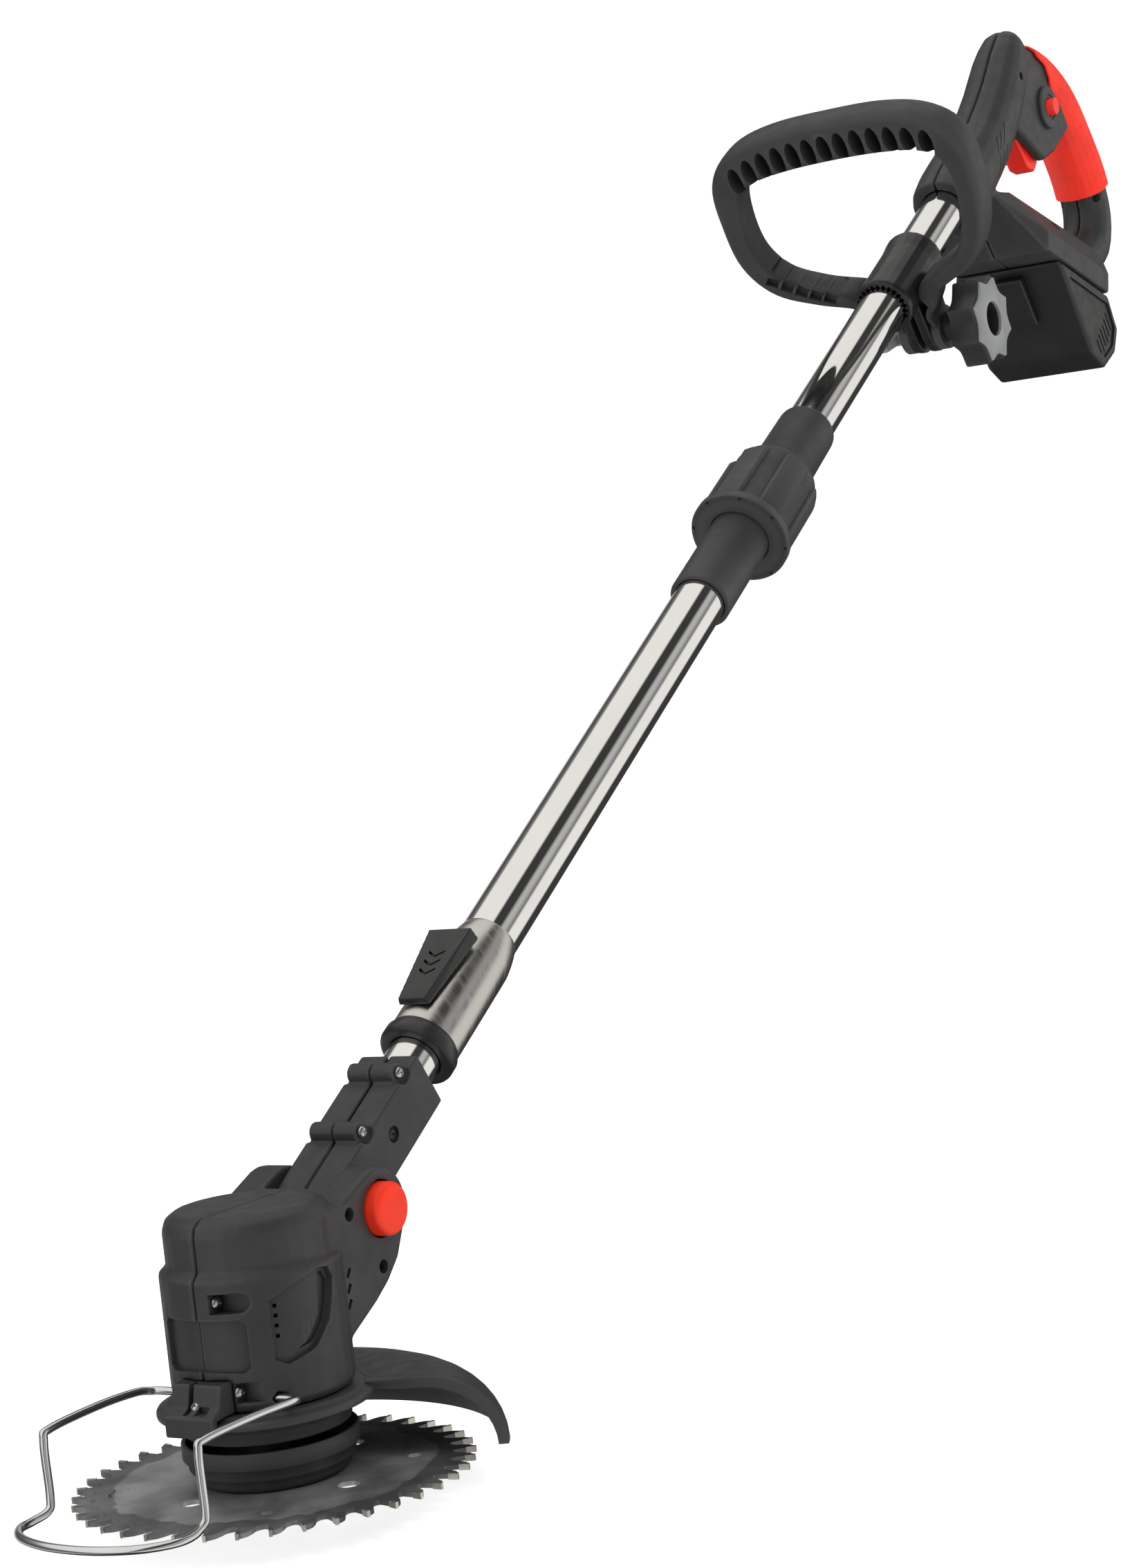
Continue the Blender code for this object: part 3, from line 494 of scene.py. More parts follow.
def housing(node, sign):
    """One motor housing half with its panels, vents and screw troughs."""
    made = softened(copied(node, CHARCOAL), 0.8, 5)
    work = bmesh.new()
    curved_cut(work, FRONT_PANEL, 32.1, CUT_REACH, sign)
    curved_cut(work, SIDE_PANEL, 31.8, CUT_REACH, sign)
    carve(made, work)
    work = bmesh.new()
    curved_cut(work, CRESCENT, 30.4, CUT_REACH, sign)
    t = math.radians(52.0)
    out = Vector((math.cos(t), sign * math.sin(t), 0.0))
    for z in DOT_HEIGHTS:
        block(work, out * 33.0 + UP * z, (out.cross(UP), UP, out), (0.75, 0.75, 4.0))
    lean = Vector((-0.55, 0.0, 0.83))
    for z in (59.9, 65.6, 71.3):
        middle = Vector((-19.7 - (z - 65.6) * 0.1, sign * 29.0, z))
        block(work, middle, (lean, lean.cross(SIDE), SIDE), (1.9, 0.85, 4.0))
    for x, z in CHEEK_HOLES:
        rod(work, Vector((x, sign * 20.0, z)), SIDE * sign, 2.7, 0.0, 14.0, 32)
    if sign > 0:
        for (y, z), reach in zip(SCREW_SEATS, (10.0, 9.0)):
            outline = [(y - 0.3, z - TROUGH_R), (y + reach, z - TROUGH_R)]
            outline += arc(y + reach, z, TROUGH_R, -80, 80, 8)
            outline += [(y + reach, z + TROUGH_R), (y - 0.3, z + TROUGH_R)]
            prism(work, [Vector((26.2, a, b)) for a, b in outline],
                  [Vector((40.0, a, b)) for a, b in outline])
    carve(made, work)
    shade(made)
    made.name = node + "_looks"
    return wear(made, "head", "moulded_black", node)


def head():
    """Motor housing with its base, guard, clip, screws and tilt buttons."""
    housing("motor_housing_left", 1)
    housing("motor_housing_right", -1)
    cap_ring = lathed("cap_label_rim", [(23.2, 0.0), (24.0, 0.0), (24.0, 0.28), (23.2, 0.28)], SATIN,
                      CENTRE, UP, 96)
    for vert in cap_ring.data.vertices:
        point = vert.co - place(CENTRE)
        vert.co = place(Vector((2.5, 0.0, 101.1))) + Vector((point.x * 0.86, point.y, point.z))
    wear(cap_ring, "head", "moulded_black")
    names = ("housing_screw_upper", "housing_screw_lower")
    for node, (y, z) in zip(names, SCREW_SEATS):
        screw_head(node + "_looks", Vector((29.6, y, z)), SIDE, "head", node)
    base = [(11.3, 19.0), (29.6, 19.0), (30.6, 19.4), (31.0, 20.2), (31.0, 23.2), (31.6, 24.4),
            (32.6, 24.9), (33.0, 25.5),
            (33.0, 26.2), (32.6, 26.6), (27.6, 26.7), (27.6, 31.7), (11.3, 31.7)]
    wear(lathed("housing_base_looks", base, CHARCOAL, CENTRE, UP), "head", "moulded_black",
         "housing_base")
    guard()
    clip = softened(copied("guard_clip", CHARCOAL), 0.45, 3)
    work = bmesh.new()
    block(work, Vector((38.5, -2.0, 40.0)), (FORWARD, SIDE, UP), (5.0, 1.2, 6.0))
    block(work, Vector((42.0, 4.5, 35.4)), (FORWARD, SIDE, UP), (3.2, 2.6, 1.3))
    carve(clip, work)
    shade(clip)
    clip.name = "guard_clip_looks"
    wear(clip, "head", "moulded_black", "guard_clip")
    screw_head("guard_clip_screw", Vector((39.0, 0.0, 36.0)), Vector((0.75, 0.0, 0.66)).normalized(),
               "head", None, radius=2.0)
    for node, sign in (("tilt_button_left", 1), ("tilt_button_right", -1)):
        profile = [(0.0, 22.0), (10.2, 22.0), (10.2, 32.2), (10.05, 33.0), (9.6, 33.7), (8.9, 34.2),
                   (8.0, 34.5), (4.0, 34.75),
                   (0.0, 34.8)]
        wear(lathed(node + "_looks", profile, ORANGE, PIVOT, SIDE * sign), node, "button_orange", node)


def guard():
    """Flange ring, and a scoop with a thick rolled rim over the back of the blade."""
    profile = [(28.0, 27.0), (39.6, 27.0), (40.3, 27.4), (40.5, 28.2), (40.5, 29.2), (40.0, 30.0),
               (38.0, 30.6), (36.5, 31.6),
               (28.0, 31.6)]
    work = bmesh.new()
    lathed("ring", profile, None, CENTRE, UP, 128, work)
    made = solid("debris_guard_looks", work, CHARCOAL)
    work = bmesh.new()
    rows = []
    for step in range(SCOOP_STEPS + 1):
        angle = math.radians(SCOOP_START + SCOOP_SWEEP * step / SCOOP_STEPS)
        near_end = min(step, SCOOP_STEPS - step) * SCOOP_SWEEP / SCOOP_STEPS
        thick = 2.2 + 1.6 * max(0.0, 1.0 - near_end / 3.2) ** 0.5
        outline = [(37.0, 31.4), (48.0, 31.5), (58.0, 31.3)]
        inside = [(37.0, 31.4 - 2.4), (48.0, 31.5 - thick), (57.0, 31.3 - thick)]
        for part in range(1, 11):
            t = math.radians(9.0 * part)
            outline.append((58.0 + 29.8 * math.sin(t), 3.8 + 27.5 * math.cos(t)))
            inside.append((57.0 + (30.8 - thick) * math.sin(t), 3.8 + (27.5 - thick) * math.cos(t)))
        loop = outline + list(reversed(inside))
        rows.append([work.verts.new((r * math.cos(angle), r * math.sin(angle), z)) for r, z in loop])
    stack(work, rows)
    carve(made, work, "UNION")
    shade(made, 32.0)
    wear(made, "head", "moulded_black", "debris_guard")


def cutter():
    """Saw blade with carbide tips, its cup, washer and spindle."""
    outline = []
    pitch = math.tau / TEETH
    tips = bmesh.new()
    for tooth in range(TEETH):
        start = tooth * pitch
        shape = ((66.5, 0.0), (68.0, 0.03), (74.4, 0.1), (74.2, 0.24), (72.6, 0.4), (70.0, 0.52),
                 (67.6, 0.6), (66.4, 0.72), (65.9, 0.86))
        outline += [(r * math.cos(start + t * pitch), r * math.sin(start + t * pitch)) for r, t in shape]
        angle = start + 0.105 * pitch
        out = Vector((math.cos(angle), math.sin(angle), 0.0))
        block(tips, out * 73.0, (out, UP.cross(out), UP), (1.95, 0.62, 1.15))
    work = bmesh.new()
    prism(work, [Vector((a, b, -0.88)) for a, b in outline], [Vector((a, b, 0.88)) for a, b in outline])
    blade = solid("saw_blade_looks", work, BLADE, 25.0)
    work = bmesh.new()
    rod(work, CENTRE, UP, BORE_R, -5.0, 5.0, 48)
    for quarter in range(4):
        angle = math.radians(35 + 90 * quarter)
        rod(work, Vector((52.0 * math.cos(angle), 52.0 * math.sin(angle), 0.0)), UP, 2.6, -5.0, 5.0, 32)
        angle = math.radians(80 + 90 * quarter)
        rod(work, Vector((40.0 * math.cos(angle), 40.0 * math.sin(angle), 0.0)), UP, 4.2, -5.0, 5.0, 40)
    for slot in range(5):
        points = []
        for k in range(9):
            a = math.radians(15 + 72 * slot + 1.2 * k)
            points.append((60.0 - 0.9 * math.sin(k * 0.8), a))
        near = [(r + 0.35, a) for r, a in points] + [(r - 0.35, a) for r, a in reversed(points)]
        prism(work, [Vector((r * math.cos(a), r * math.sin(a), -5.0)) for r, a in near],
              [Vector((r * math.cos(a), r * math.sin(a), 5.0)) for r, a in near])
    carve(blade, work)
    shade(blade, 25.0)
    wear(blade, "spindle", "blade_steel", "saw_blade")
    wear(solid("carbide_tips", tips, CARBIDE, 25.0), "spindle", "blade_steel")
    cup = [(BORE_R, 1.2), (26.6, 1.2), (27.6, 1.6), (28.6, 2.8), (29.0, 3.6), (29.0, 5.0), (29.5, 5.8),
           (30.6, 6.2), (31.0, 6.9), (31.0, 9.2),
           (31.4, 10.0), (32.6, 10.4), (33.0, 11.0), (33.0, 16.4), (32.7, 16.9), (31.9, 17.0),
           (31.3, 16.7), (30.9, 11.5), (28.0, 8.0),
           (10.0, 6.0), (8.5, 17.5), (BORE_R, 17.5)]
    wear(lathed("blade_cup_looks", cup, CHARCOAL, CENTRE, UP), "spindle", "moulded_black", "blade_cup")
    washer = [(BORE_R, -3.4), (13.8, -3.4), (14.6, -3.1), (14.95, -2.5), (14.95, -1.3), (14.6, -1.2),
              (BORE_R, -1.2)]
    wear(lathed("blade_washer_looks", washer, ZINC, CENTRE, UP), "spindle", "bright_zinc", "blade_washer")
    spindle = [(0.0, -12.0), (3.3, -12.0), (4.0, -11.3), (4.0, 17.8), (5.2, 17.8), (5.2, 36.0),
               (4.0, 36.2), (4.0, 87.4),
               (3.5, 88.0), (0.0, 88.0)]
    wear(lathed("spindle_looks", spindle, STEEL, CENTRE, UP, 64), "spindle", "blade_steel", "spindle")


def wire():
    """Bent plated wire in front of the blade."""
    hinge_x, hinge_z, wide = 22.0, 36.2, 36.4
    half = [(hinge_x, 19.0, hinge_z), (hinge_x, 30.0, hinge_z), (hinge_x + 2.0, 34.0, hinge_z + 0.3),
            (hinge_x + 8.0, wide, hinge_z + 1.2), (50.0, wide, 38.2), (77.0, wide - 1, 37.5),
            (81.0, wide - 1, 34.0),
            (81.0, wide - 1, 14.0), (83.0, wide - 1, 9.5), (90.0, wide, 8.0),
            (98.0, 35.0, 8.0), (106.0, 27.0, 8.0), (111.0, 14.0, 8.0)]
    points = half + [(112.5, 0.0, 8.0)] + [(x, -y, z) for x, y, z in reversed(half)]
    path = [(Vector(point), 1.55, 1.55) for point in smooth_path(points, 8)]
    made = swept("wire_guard_looks", path, PLATED, 20, 2.0, Vector((0.3, 0.1, 0.94)))
    wear(made, "wire_guard", "bright_zinc", "wire_guard")


# ---- neck and pole ---------------------------------------------------------------------------

TUBE_BORE, TUBE_R = 11.6, 12.48
NUT_PADS, NUT_DIMPLES = 6, 8


def neck():
    """Neck halves, their screws and the inner tube that they grip."""
    for node, sign in (("neck_left", 1), ("neck_right", -1)):
        made = softened(copied(node, CHARCOAL), 0.6, 4)
        work = bmesh.new()
        rod(work, shaft(39.0, 0.8), SIDE * sign, 3.4, 12.4, 20.0, 40)
        for station in (27.0, 60.0):
            rod(work, shaft(station, 13.5), SIDE * sign, 3.0, 10.4, 10.9, 32)
        carve(made, work)
        shade(made)
        made.name = node + "_looks"
        wear(made, "inner_pole", "moulded_black", node)
        screw_head(node + "_side_screw", shaft(39.0, 0.8, sign * 12.0), SIDE * sign, "inner_pole", None,
                   SATIN, 2.4)
    for node, station in (("neck_screw_lower", 27.0), ("neck_screw_upper", 60.0)):
        screw_head(node + "_looks", shaft(station, 13.5, 11.3), SIDE, "inner_pole", node)
    wear(lathed("inner_tube_looks", [(9.8, 21.0), (10.98, 21.0), (10.98, 330.0), (9.8, 330.0)], CHROME,
                PIVOT, ALONG, 128),
         "inner_pole", "chromed_tube", "inner_tube")


def tubes():
    """End ring, bell, the two chromed tubes and the sleeves between them."""
    end = [(11.4, 84.0), (14.2, 84.0), (15.0, 84.3), (15.4, 84.8), (16.0, 85.2), (16.2, 85.8),
           (16.2, 89.6), (15.9, 90.2), (15.3, 90.6),
           (15.2, 92.0), (11.4, 92.0)]
    wear(lathed("bell_end_ring_looks", end, SATIN, PIVOT, ALONG), "rear_handle", "smooth_black",
         "bell_end_ring")
    bell = [(11.6, 92.3), (14.8, 92.3), (15.0, 92.6), (15.0, 141.5), (14.85, 143.5), (14.3, 147.5),
            (13.5, 151.5), (12.9, 153.8),
            (12.6, 154.9), (12.2, 155.4), (11.6, 155.4)]
    made = lathed("bell_looks", bell, BRUSHED, PIVOT, ALONG, 128)
    work = bmesh.new()
    outline = ((101.0, 10.0), (140.0, 10.0), (140.0, 25.0), (101.0, 25.0))
    prism(work, [shaft(s, n, -6.4) for s, n in outline], [shaft(s, n, 6.4) for s, n in outline])
    carve(made, work)
    shade(made, 35.0)
    wear(made, "rear_handle", "brushed_steel", "lower_tube")
    for name, low, high, node in (("lower_tube_looks", 154.6, 470.0, None),
                                  ("upper_tube_looks", 473.0, 800.0, "upper_tube")):
        wall = [(TUBE_BORE, low), (TUBE_R, low), (TUBE_R, high), (TUBE_BORE, high)]
        tube = lathed(name, wall, CHROME, PIVOT, ALONG, 128)
        wear(tube, "rear_handle", "chromed_tube", *([node] if node else []))
    lower = [(12.8, 400.0), (14.4, 400.0), (15.0, 400.6), (15.0, 460.0), (15.6, 461.0), (18.4, 461.2),
             (19.0, 461.8), (19.0, 471.0), (12.8, 471.0)]
    wear(lathed("lower_sleeve_looks", lower, CHARCOAL, PIVOT, ALONG), "rear_handle", "moulded_black",
         "lower_sleeve")
    upper = [(12.8, 472.0), (19.0, 472.0), (19.0, 499.6), (18.5, 500.6), (16.2, 501.8), (15.6, 502.6),
             (15.0, 548.6), (14.8, 550.0), (14.4, 550.8),
             (12.8, 551.0)]
    wear(lathed("upper_sleeve_looks", upper, CHARCOAL, PIVOT, ALONG), "rear_handle", "moulded_black",
         "upper_sleeve")


def slide_button():
    """Slide button with three chevrons."""
    made = softened(copied("release_button", SATIN), 0.4, 4)
    work = bmesh.new()
    for rank in range(3):
        station = 111.0 + 5.0 * rank
        lean = (21.5 - 19.0) / 40.0
        top = 19.0 + lean * (station - 98.0)
        for sign in (-1, 1):
            near, far = [], []
            for a, b in ((0.0, 0.0), (1.4, 0.0), (4.4, 4.0), (3.0, 4.0)):
                near.append(shaft(station + a, top - 0.9, sign * b))
                far.append(shaft(station + a, top + 3.0, sign * b))
            prism(work, near, far)
    carve(made, work)
    shade(made)
    made.name = "release_button_looks"
    wear(made, "release_button", "smooth_black", "release_button")


def union_nut():
    """Collar nut: flange with dimples, tapered body and six textured finger pads."""
    body = [(15.5, 453.0), (21.8, 453.0), (22.4, 453.3), (24.6, 453.3), (25.0, 453.8), (25.0, 457.6),
            (24.7, 458.1), (22.6, 458.6),
            (22.0, 459.6), (21.6, 501.6), (20.8, 504.6), (20.4, 505.0), (19.4, 505.0), (19.4, 460.0),
            (15.5, 460.0)]
    made = lathed("union_nut_looks", body, CHARCOAL, PIVOT, ALONG)
    work = bmesh.new()
    for pad in range(NUT_PADS):
        angle = math.tau * pad / NUT_PADS
        out = ACROSS * math.cos(angle) + SIDE * math.sin(angle)
        beside = ALONG.cross(out)
        rows = []
        for station, reach, lift in ((458.3, 6.8, 23.3), (460.0, 7.0, 23.6), (498.5, 7.0, 23.5),
                                     (500.8, 6.5, 22.6)):
            edge = [(-reach, 20.5), (-reach, lift - 1.6), (-reach + 1.0, lift - 0.5),
                    (-reach * 0.4, lift), (reach * 0.4, lift),
                    (reach - 1.0, lift - 0.5), (reach, lift - 1.6), (reach, 20.5)]
            rows.append([PIVOT + ALONG * station + beside * b + out * r for b, r in edge])
        stack(work, [[work.verts.new(p) for p in row] for row in rows])
    carve(made, work, "UNION")
    work = bmesh.new()
    for dot in range(NUT_DIMPLES):
        angle = math.tau * (dot + 0.5) / NUT_DIMPLES
        out = ACROSS * math.cos(angle) + SIDE * math.sin(angle)
        rod(work, PIVOT + ALONG * 453.3 + out * 23.6, ALONG, 0.7, -1.0, 0.9, 16)
    carve(made, work)
    shade(made, 33.0)
    wear(made, "union_nut", "moulded_black", "union_nut")


# ---- clamped D handle ------------------------------------------------------------------------

BOLT_S, BOLT_N = 712.0, -37.0
FINGER_POCKETS, POCKET_SPAN = 13, 56.0
STAR_LOBES, STAR_REACH, STAR_HOLLOW, STAR_STEPS = 8, 24.9, 4.3, 128


def hand_loop():
    """D-shaped loop with finger pockets along its grip and a row of cells on one arm."""
    half = [(0.0, 98.0, 684.0, 11.0, 12.0), (30.0, 97.0, 684.0, 11.0, 12.0),
            (52.0, 92.5, 684.0, 11.0, 11.0),
            (65.0, 82.0, 684.0, 11.0, 9.0), (68.5, 62.0, 683.0, 11.0, 7.0),
            (66.0, 40.0, 681.0, 11.0, 6.5),
            (56.0, 22.0, 683.0, 11.0, 6.0), (38.0, 10.0, 687.0, 11.0, 5.2), (21.5, 0.0, 694.0, 11.0, 4.6),
            (17.8, -11.0, 702.0, 11.0, 2.8), (11.4, -21.0, 708.0, 10.5, 2.4),
            (9.8, -27.5, 710.5, 10.2, 2.4),
            (9.8, -35.0, BOLT_S, 10.0, 2.4)]
    rows = [(-y, n, s, a, b) for y, n, s, a, b in reversed(half)] + half[1:]
    dense = smooth_path(rows, 6)
    path = [(shaft(s, n, y), a - 0.05, b - 0.05) for y, n, s, a, b in dense]
    made = swept("aux_handle_looks", path, CHARCOAL, 40, 3.6, ALONG)
    work = bmesh.new()
    for sign in (-1, 1):
        rod(work, shaft(BOLT_S, BOLT_N), SIDE * sign, 12.0, 7.3, 12.2, 64)
    carve(made, work, "UNION")
    work = bmesh.new()
    for pocket in range(FINGER_POCKETS):
        y = -POCKET_SPAN + POCKET_SPAN / 6.0 * pocket
        sag = (abs(y) / POCKET_SPAN) ** 3 * 8.0
        middle = shaft(684.0, 94.6 - sag, y)
        near, far = [], []
        for k in range(24):
            t = math.tau * k / 24
            side = SIDE * math.cos(t) * 3.7 + ACROSS * math.sin(t) * 8.3
            near.append(middle - ALONG * 14.0 + side * 1.05)
            far.append(middle + ALONG * 4.0 + side * 0.8)
        prism(work, near, far)
    cells = 5
    start, reach = Vector((60.0, 29.0)), Vector((-32.5, -23.0))
    ahead = (SIDE * -reach.x + ACROSS * reach.y).normalized()
    inward = ALONG.cross(ahead).normalized()
    if inward.dot(ACROSS) < 0:
        inward = -inward
    for cell in range(cells):
        share = (cell + 0.5) / cells
        y, n = start + reach * share
        middle = shaft(683.0 + 7.0 * share, n - 1.2 * math.sin(math.pi * share), -y)
        block(work, middle + inward * 6.0, (ahead, ALONG, inward), (3.3, 8.6, 3.4))
        block(work, middle - ALONG * 12.2, (ahead, ALONG, inward), (3.3, 3.4, 2.3))
    carve(made, work)
    work = bmesh.new()
    outline = ((680.0, -60.0), (745.0, -60.0), (745.0, 1.0), (680.0, 1.0))
    prism(work, [shaft(s, n, -7.3) for s, n in outline], [shaft(s, n, 7.3) for s, n in outline])
    rod(work, shaft(BOLT_S, BOLT_N), SIDE, 3.3, 9.0, 40.0, 40)
    rod(work, shaft(BOLT_S, BOLT_N), -SIDE, 3.3, 9.0, 40.0, 40)
    carve(made, work)
    shade(made, 42.0)
    wear(made, "aux_handle", "moulded_black", "aux_handle")


def clamp():
    """Toothed tube clamp and the threaded bolt through its ears."""
    made = softened(copied("aux_clamp", SATIN), 0.5, 3)
    work = bmesh.new()
    for tooth in range(18):
        angle = math.radians(-120 + 240 * tooth / 17)
        out = ACROSS * math.cos(angle) + SIDE * math.sin(angle)
        rod(work, PIVOT + out * 13.3, ALONG, 0.95, 670.0, 676.0, 16)
    carve(made, work)
    shade(made)
    made.name = "aux_clamp_looks"
    wear(made, "aux_clamp", "smooth_black", "aux_clamp")
    low, high, threads = -28.0, 30.0, 58
    profile = [(0.0, low)]
    for k in range(threads * 2 + 1):
        profile.append((2.98 if k % 2 else 2.45, low + (high - low) * k / (threads * 2)))
    profile.append((0.0, high))
    wear(lathed("clamp_bolt_looks", profile, ZINC, shaft(BOLT_S, BOLT_N), SIDE, 32), "aux_clamp",
         "bright_zinc", "clamp_bolt")


def star(name, layers, look):
    """Star with blunt points and hollow flanks, stacked from (height, inset) layers."""
    work = bmesh.new()
    rows = []
    for y, inset in layers:
        row = []
        for k in range(STAR_STEPS):
            t = math.tau * k / STAR_STEPS
            radius = STAR_REACH - inset - STAR_HOLLOW * abs(math.sin(STAR_LOBES * t / 2)) ** 0.9
            row.append(work.verts.new(shaft(BOLT_S + radius * math.cos(t), BOLT_N + radius * math.sin(t),
                                            y)))
        rows.append(row)
    stack(work, rows)
    return solid(name, work, look, 40.0)


def knobs():
    """Star knob with a pale face and a dark well, and a wing nut opposite."""
    body = ((23.0, 1.2), (23.6, 0.4), (24.6, 0.05), (36.6, 0.05), (37.4, 0.3), (38.2, 1.0))
    made = star("clamp_knob_looks", body, DARK_GREY)
    work = bmesh.new()
    rod(work, shaft(BOLT_S, BOLT_N), SIDE, 8.0, 12.8, 24.0, 48)
    carve(made, work, "UNION")
    work = bmesh.new()
    rod(work, shaft(BOLT_S, BOLT_N), SIDE, 4.4, 10.0, 26.0, 48)
    rod(work, shaft(BOLT_S, BOLT_N), SIDE, 9.3, 26.5, 42.0, 64)
    carve(made, work)
    shade(made, 35.0)
    wear(made, "clamp_knob", "knob_grey", "clamp_knob")
    face = star("clamp_knob_face", ((38.3, 1.6), (39.4, 1.7), (39.8, 2.2), (39.95, 3.0)), GREY)
    work = bmesh.new()
    rod(work, shaft(BOLT_S, BOLT_N), SIDE, 9.5, 37.0, 42.0, 64)
    carve(face, work)
    shade(face, 35.0)
    wear(face, "clamp_knob", "knob_grey")
    nut = softened(copied("wing_nut", GREY), 0.4, 5)
    nut.name = "wing_nut_looks"
    shade(nut)
    wear(nut, "wing_nut", "knob_grey", "wing_nut")


# ---- rear handle -----------------------------------------------------------------------------

LOCK_S, LOCK_N = 926.0, -14.0
SHELL_HOLES = (((901.0, 19.0), 2.6, 9.0, 30.0), ((869.0, -64.0), 3.0, 12.0, 60.0),
               ((958.0, -92.0), 2.6, 9.0, 30.0))


def groove(work, points, half, low, high):
    """Channel of constant width along a bent line of stations and heights."""
    left, right = [], []
    for index, (s, n) in enumerate(points):
        before = points[max(index - 1, 0)]
        after = points[min(index + 1, len(points) - 1)]
        length = math.dist(before, after)
        beside_s = (before[1] - after[1]) / length * half
        beside_n = (after[0] - before[0]) / length * half
        left.append((s + beside_s, n + beside_n))
        right.append((s - beside_s, n - beside_n))
    outline = left + list(reversed(right))
    prism(work, [shaft(s, n, low) for s, n in outline], [shaft(s, n, high) for s, n in outline])


def rear_handle():
    """Handle shells, soft skin, trigger and lock-off button with its boss."""
    for node in ("handle_shell_left", "handle_shell_right"):
        made = softened(copied(node, CHARCOAL), 1.0, 6)
        sign = 1 if node.endswith("left") else -1
        work = bmesh.new()
        for shift in (0.0, 7.0, 14.0):
            points = [(826.0 + shift, -7.0), (835.0 + shift, 1.0), (832.0 + shift, 4.0),
                      (843.0 + shift, 13.0)]
            groove(work, points, 0.5, sign * 16.2, sign * 24.0)
        for spot, radius, low, high in SHELL_HOLES:
            rod(work, shaft(*spot), SIDE * sign, radius, low, high, 32)
        carve(made, work)
        shade(made)
        made.name = node + "_looks"
        wear(made, "rear_handle", "moulded_black", node)
    boss = [(5.6, 12.0), (12.0, 12.0), (12.6, 14.6), (12.2, 15.4), (11.2, 15.8), (7.6, 15.9),
            (7.2, 15.2), (5.6, 15.2)]
    made = lathed("lock_off_boss", boss, CHARCOAL, shaft(LOCK_S, LOCK_N), SIDE, 64)
    work = bmesh.new()
    rod(work, shaft(LOCK_S + 7.2, LOCK_N - 5.2), SIDE, 1.7, 13.0, 20.0, 24)
    carve(made, work)
    shade(made, 35.0)
    wear(made, "rear_handle", "moulded_black")
    skin = softened(copied("grip_overmold", RED), 0.6, 5)
    shade(skin)
    skin.name = "grip_overmold_looks"
    wear(skin, "rear_handle", "grip_red", "grip_overmold")
    trigger = softened(copied("trigger", RED_HARD), 0.5, 5)
    shade(trigger)
    trigger.name = "trigger_looks"
    wear(trigger, "trigger", "grip_red", "trigger")
    lock = [(0.0, -16.6), (4.4, -16.6), (4.95, -16.0), (4.95, 18.8), (4.6, 19.4), (3.8, 19.6),
            (0.0, 19.6)]
    wear(lathed("lock_off_button_looks", lock, RED_HARD, shaft(LOCK_S, LOCK_N), SIDE, 48),
         "lock_off_button", "grip_red", "lock_off_button")


def battery():
    """Battery case with inset ribbed sides, and its latch."""
    case = softened(copied("battery_case", PACK), 0.9, 5)
    panel = ((834.5, -80.0), (873.0, -121.5), (871.5, -137.0), (861.0, -143.5), (845.0, -142.0),
             (836.0, -128.0))
    work = bmesh.new()
    for sign in (-1, 1):
        prism(work, [shaft(a, b, sign * 32.9) for a, b in panel],
              [shaft(a, b, sign * 40.0) for a, b in panel])
    carve(case, work)
    work = bmesh.new()
    for sign in (-1, 1):
        for rank in range(6):
            drop = (1.5 if rank < 3 else 1.0) * rank
            middle = shaft(867.0 - 4.5 * rank, -130.0 - drop, sign * 33.0)
            block(work, middle, (ALONG, ACROSS, SIDE), (0.8, 6.0, 1.0))
    carve(case, work)
    shade(case)
    case.name = "battery_case_looks"
    wear(case, "battery", "moulded_black", "battery_case")
    latch = softened(copied("battery_latch", PACK), 0.4, 4)
    shade(latch)
    latch.name = "battery_latch_looks"
    wear(latch, "battery_latch", "moulded_black", "battery_latch")


KEPT = {"motor_can": STEEL, "lower_bearing": STEEL, "tilt_pin": STEEL, "blade_nut": ZINC,
        "rotor": COPPER, "switch_unit": SATIN,
        "terminal_block": SOCKET_BLACK, "battery_core": DARK_GREY}


# ---- stage -----------------------------------------------------------------------------------

# Shades of the surroundings, by the turn about the pole's axis.
BRIGHT, MID, DIM, DARK = (1.0, 0.985, 0.95), (0.55, 0.55, 0.55), (0.2, 0.2, 0.2), (0.05, 0.05, 0.05)
WORLD_BANDS = [(0.0, DARK), (0.13, DARK), (0.165, MID), (0.2, MID), (0.24, DARK), (0.32, DIM),
               (0.35, BRIGHT), (0.565, BRIGHT),
               (0.585, DARK), (0.66, DARK), (0.69, MID), (0.72, MID), (0.765, DIM), (0.79, BRIGHT),
               (0.905, BRIGHT), (0.93, DARK)]
LIGHTS = (("key", (0.6, 1.7, 1.7), 1.2, 24.0), ("fill", (1.8, -1.4, 0.9), 1.6, 8.0),
          ("back", (-1.8, 0.8, 1.4), 1.4, 14.0))
CAMERA_SPOT = Vector((1.719276, 0.698641, -0.273352))
CAMERA_AHEAD = Vector((-0.839339, -0.541451, -0.048388))
CAMERA_ABOVE = Vector((-0.099836, 0.066037, 0.992810))
CAMERA_LENS, CAMERA_SENSOR = 67.88, 36.0
FLOOR_REACH, FLOOR_GAP = 14.0, 0.002


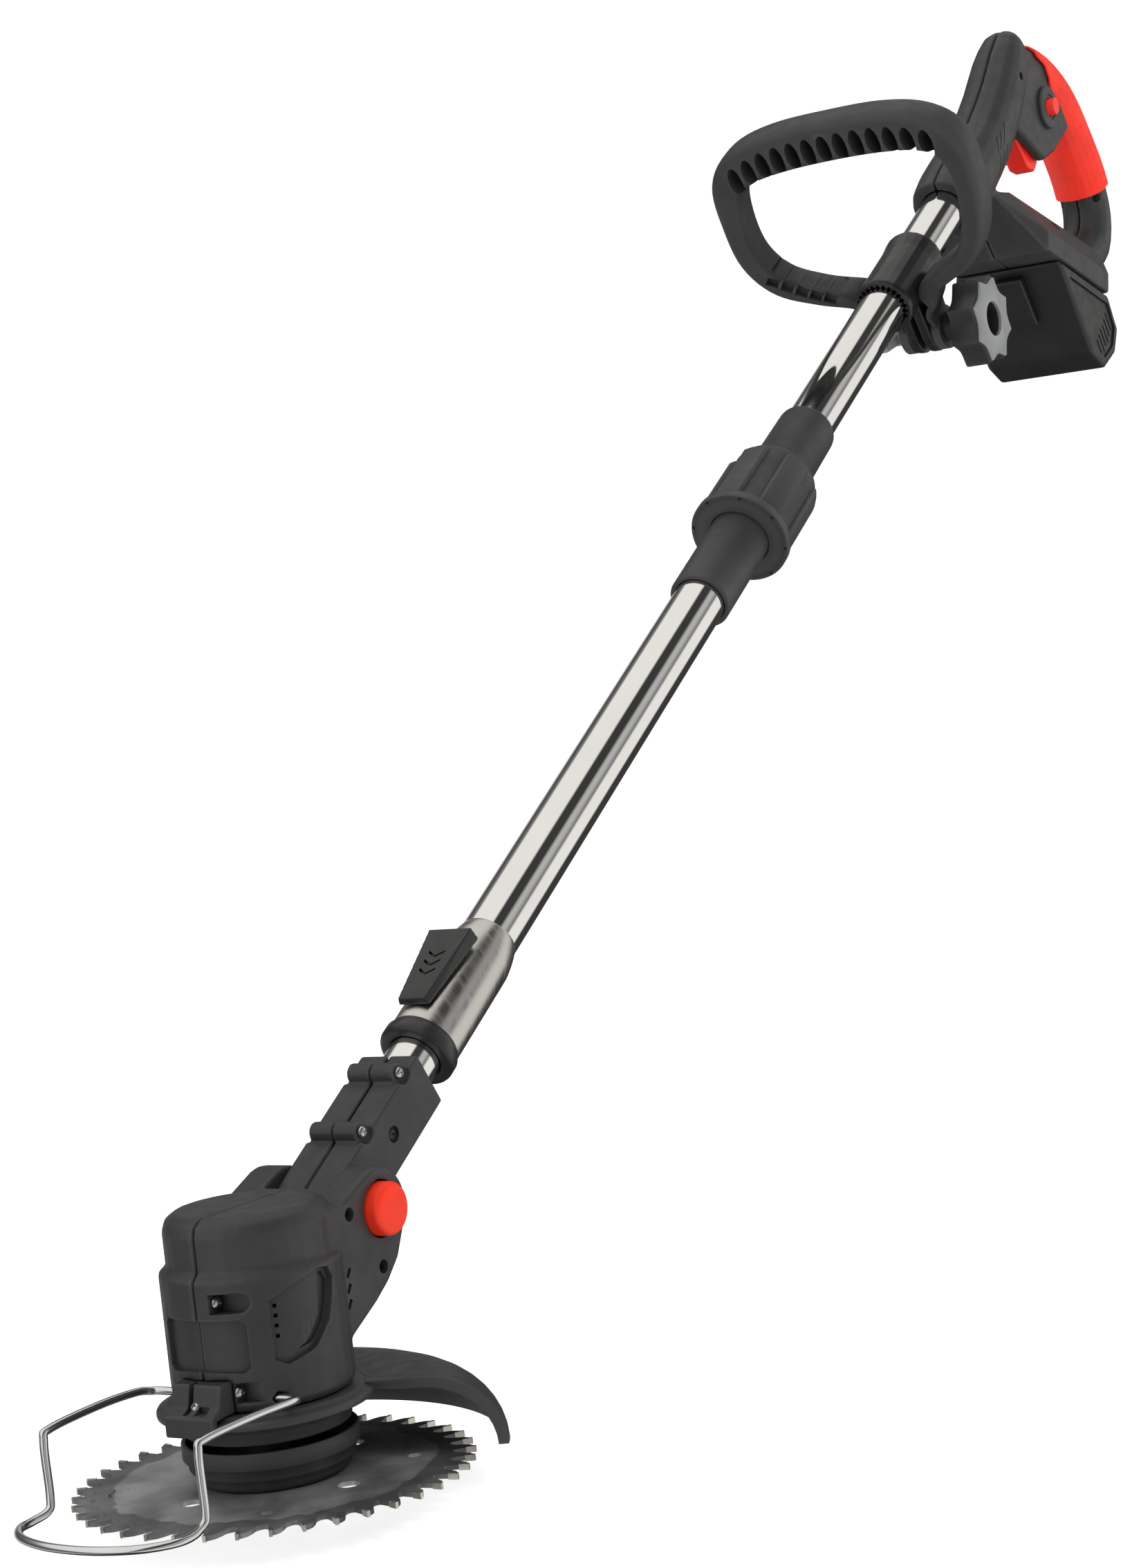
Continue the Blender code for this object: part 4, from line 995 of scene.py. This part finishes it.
def pale_floor():
    """Pale floor that glows a little and keeps soft shadows."""
    floor_mesh = bmesh.new()
    reach, height = FLOOR_REACH, cad_low.z - FLOOR_GAP
    signs = ((-1, -1), (1, -1), (1, 1), (-1, 1))
    corners = [floor_mesh.verts.new((a * reach, b * reach, height)) for a, b in signs]
    floor_mesh.faces.new(corners)
    mesh = bpy.data.meshes.new("studio_floor")
    floor_mesh.to_mesh(mesh)
    floor_mesh.free()
    look, tree, shader = nodes_of("pale_floor")
    shader.inputs["Base Color"].default_value = (0.5, 0.5, 0.5, 1.0)
    shader.inputs["Roughness"].default_value = 0.9
    shader.inputs["Specular IOR Level"].default_value = 0.0
    shader.inputs["Emission Color"].default_value = (1.0, 1.0, 1.0, 1.0)
    shader.inputs["Emission Strength"].default_value = 0.8
    floor = from_mesh("studio_floor", mesh, look)
    floor.visible_glossy = False


def surroundings(scene):
    """White to the camera, banded light and dark in reflections."""
    world = bpy.data.worlds.new("studio")
    scene.world = world
    world.use_nodes = True
    tree = world.node_tree
    background = tree.nodes["Background"]
    where = tree.nodes.new("ShaderNodeTexCoord")

    def part(axis):
        made = tree.nodes.new("ShaderNodeVectorMath")
        made.operation = "DOT_PRODUCT"
        made.inputs[1].default_value = tuple(axis)
        tree.links.new(where.outputs["Generated"], made.inputs[0])
        return made.outputs["Value"]

    turn = tree.nodes.new("ShaderNodeMath")
    turn.operation = "ARCTAN2"
    tree.links.new(part(SIDE), turn.inputs[0])
    tree.links.new(part(ACROSS), turn.inputs[1])
    share = spread(tree, turn.outputs["Value"], 0.0, 1.0, -math.pi, math.pi)
    bands = ramp(tree, share, WORLD_BANDS)
    rays = tree.nodes.new("ShaderNodeLightPath")
    tree.links.new(mixed(tree, rays.outputs["Is Camera Ray"], bands, (1.15, 1.15, 1.15)),
                   background.inputs["Color"])
    background.inputs["Strength"].default_value = 0.9


def stage():
    """Floor, surroundings, soft lights and camera."""
    scene = bpy.context.scene
    pale_floor()
    surroundings(scene)
    for name, point, size, energy in LIGHTS:
        light = bpy.data.lights.new(name, "AREA")
        light.size = size
        light.energy = energy
        lamp = bpy.data.objects.new(name, light)
        scene.collection.objects.link(lamp)
        middle = (cad_low + cad_high) / 2
        lamp.location = middle + Vector(point)
        lamp.rotation_mode = "QUATERNION"
        lamp.rotation_quaternion = (middle - lamp.location).to_track_quat("-Z", "Y")
        lamp.visible_glossy = False
    lens = bpy.data.cameras.new("camera")
    lens.lens = CAMERA_LENS
    lens.sensor_width = CAMERA_SENSOR
    lens.clip_start = 0.01
    camera = bpy.data.objects.new("camera", lens)
    scene.collection.objects.link(camera)
    right = CAMERA_AHEAD.cross(CAMERA_ABOVE).normalized()
    turned = Matrix((right, right.cross(CAMERA_AHEAD), -CAMERA_AHEAD)).transposed()
    camera.matrix_world = Matrix.Translation(CAMERA_SPOT) @ turned.to_4x4()
    scene.camera = camera
    scene.view_settings.view_transform = "Standard"


head()
cutter()
wire()
neck()
tubes()
slide_button()
union_nut()
hand_loop()
clamp()
knobs()
rear_handle()
battery()
for node, look in KEPT.items():
    for kept in NODES[node].material_slots:
        kept.material = look
stage()
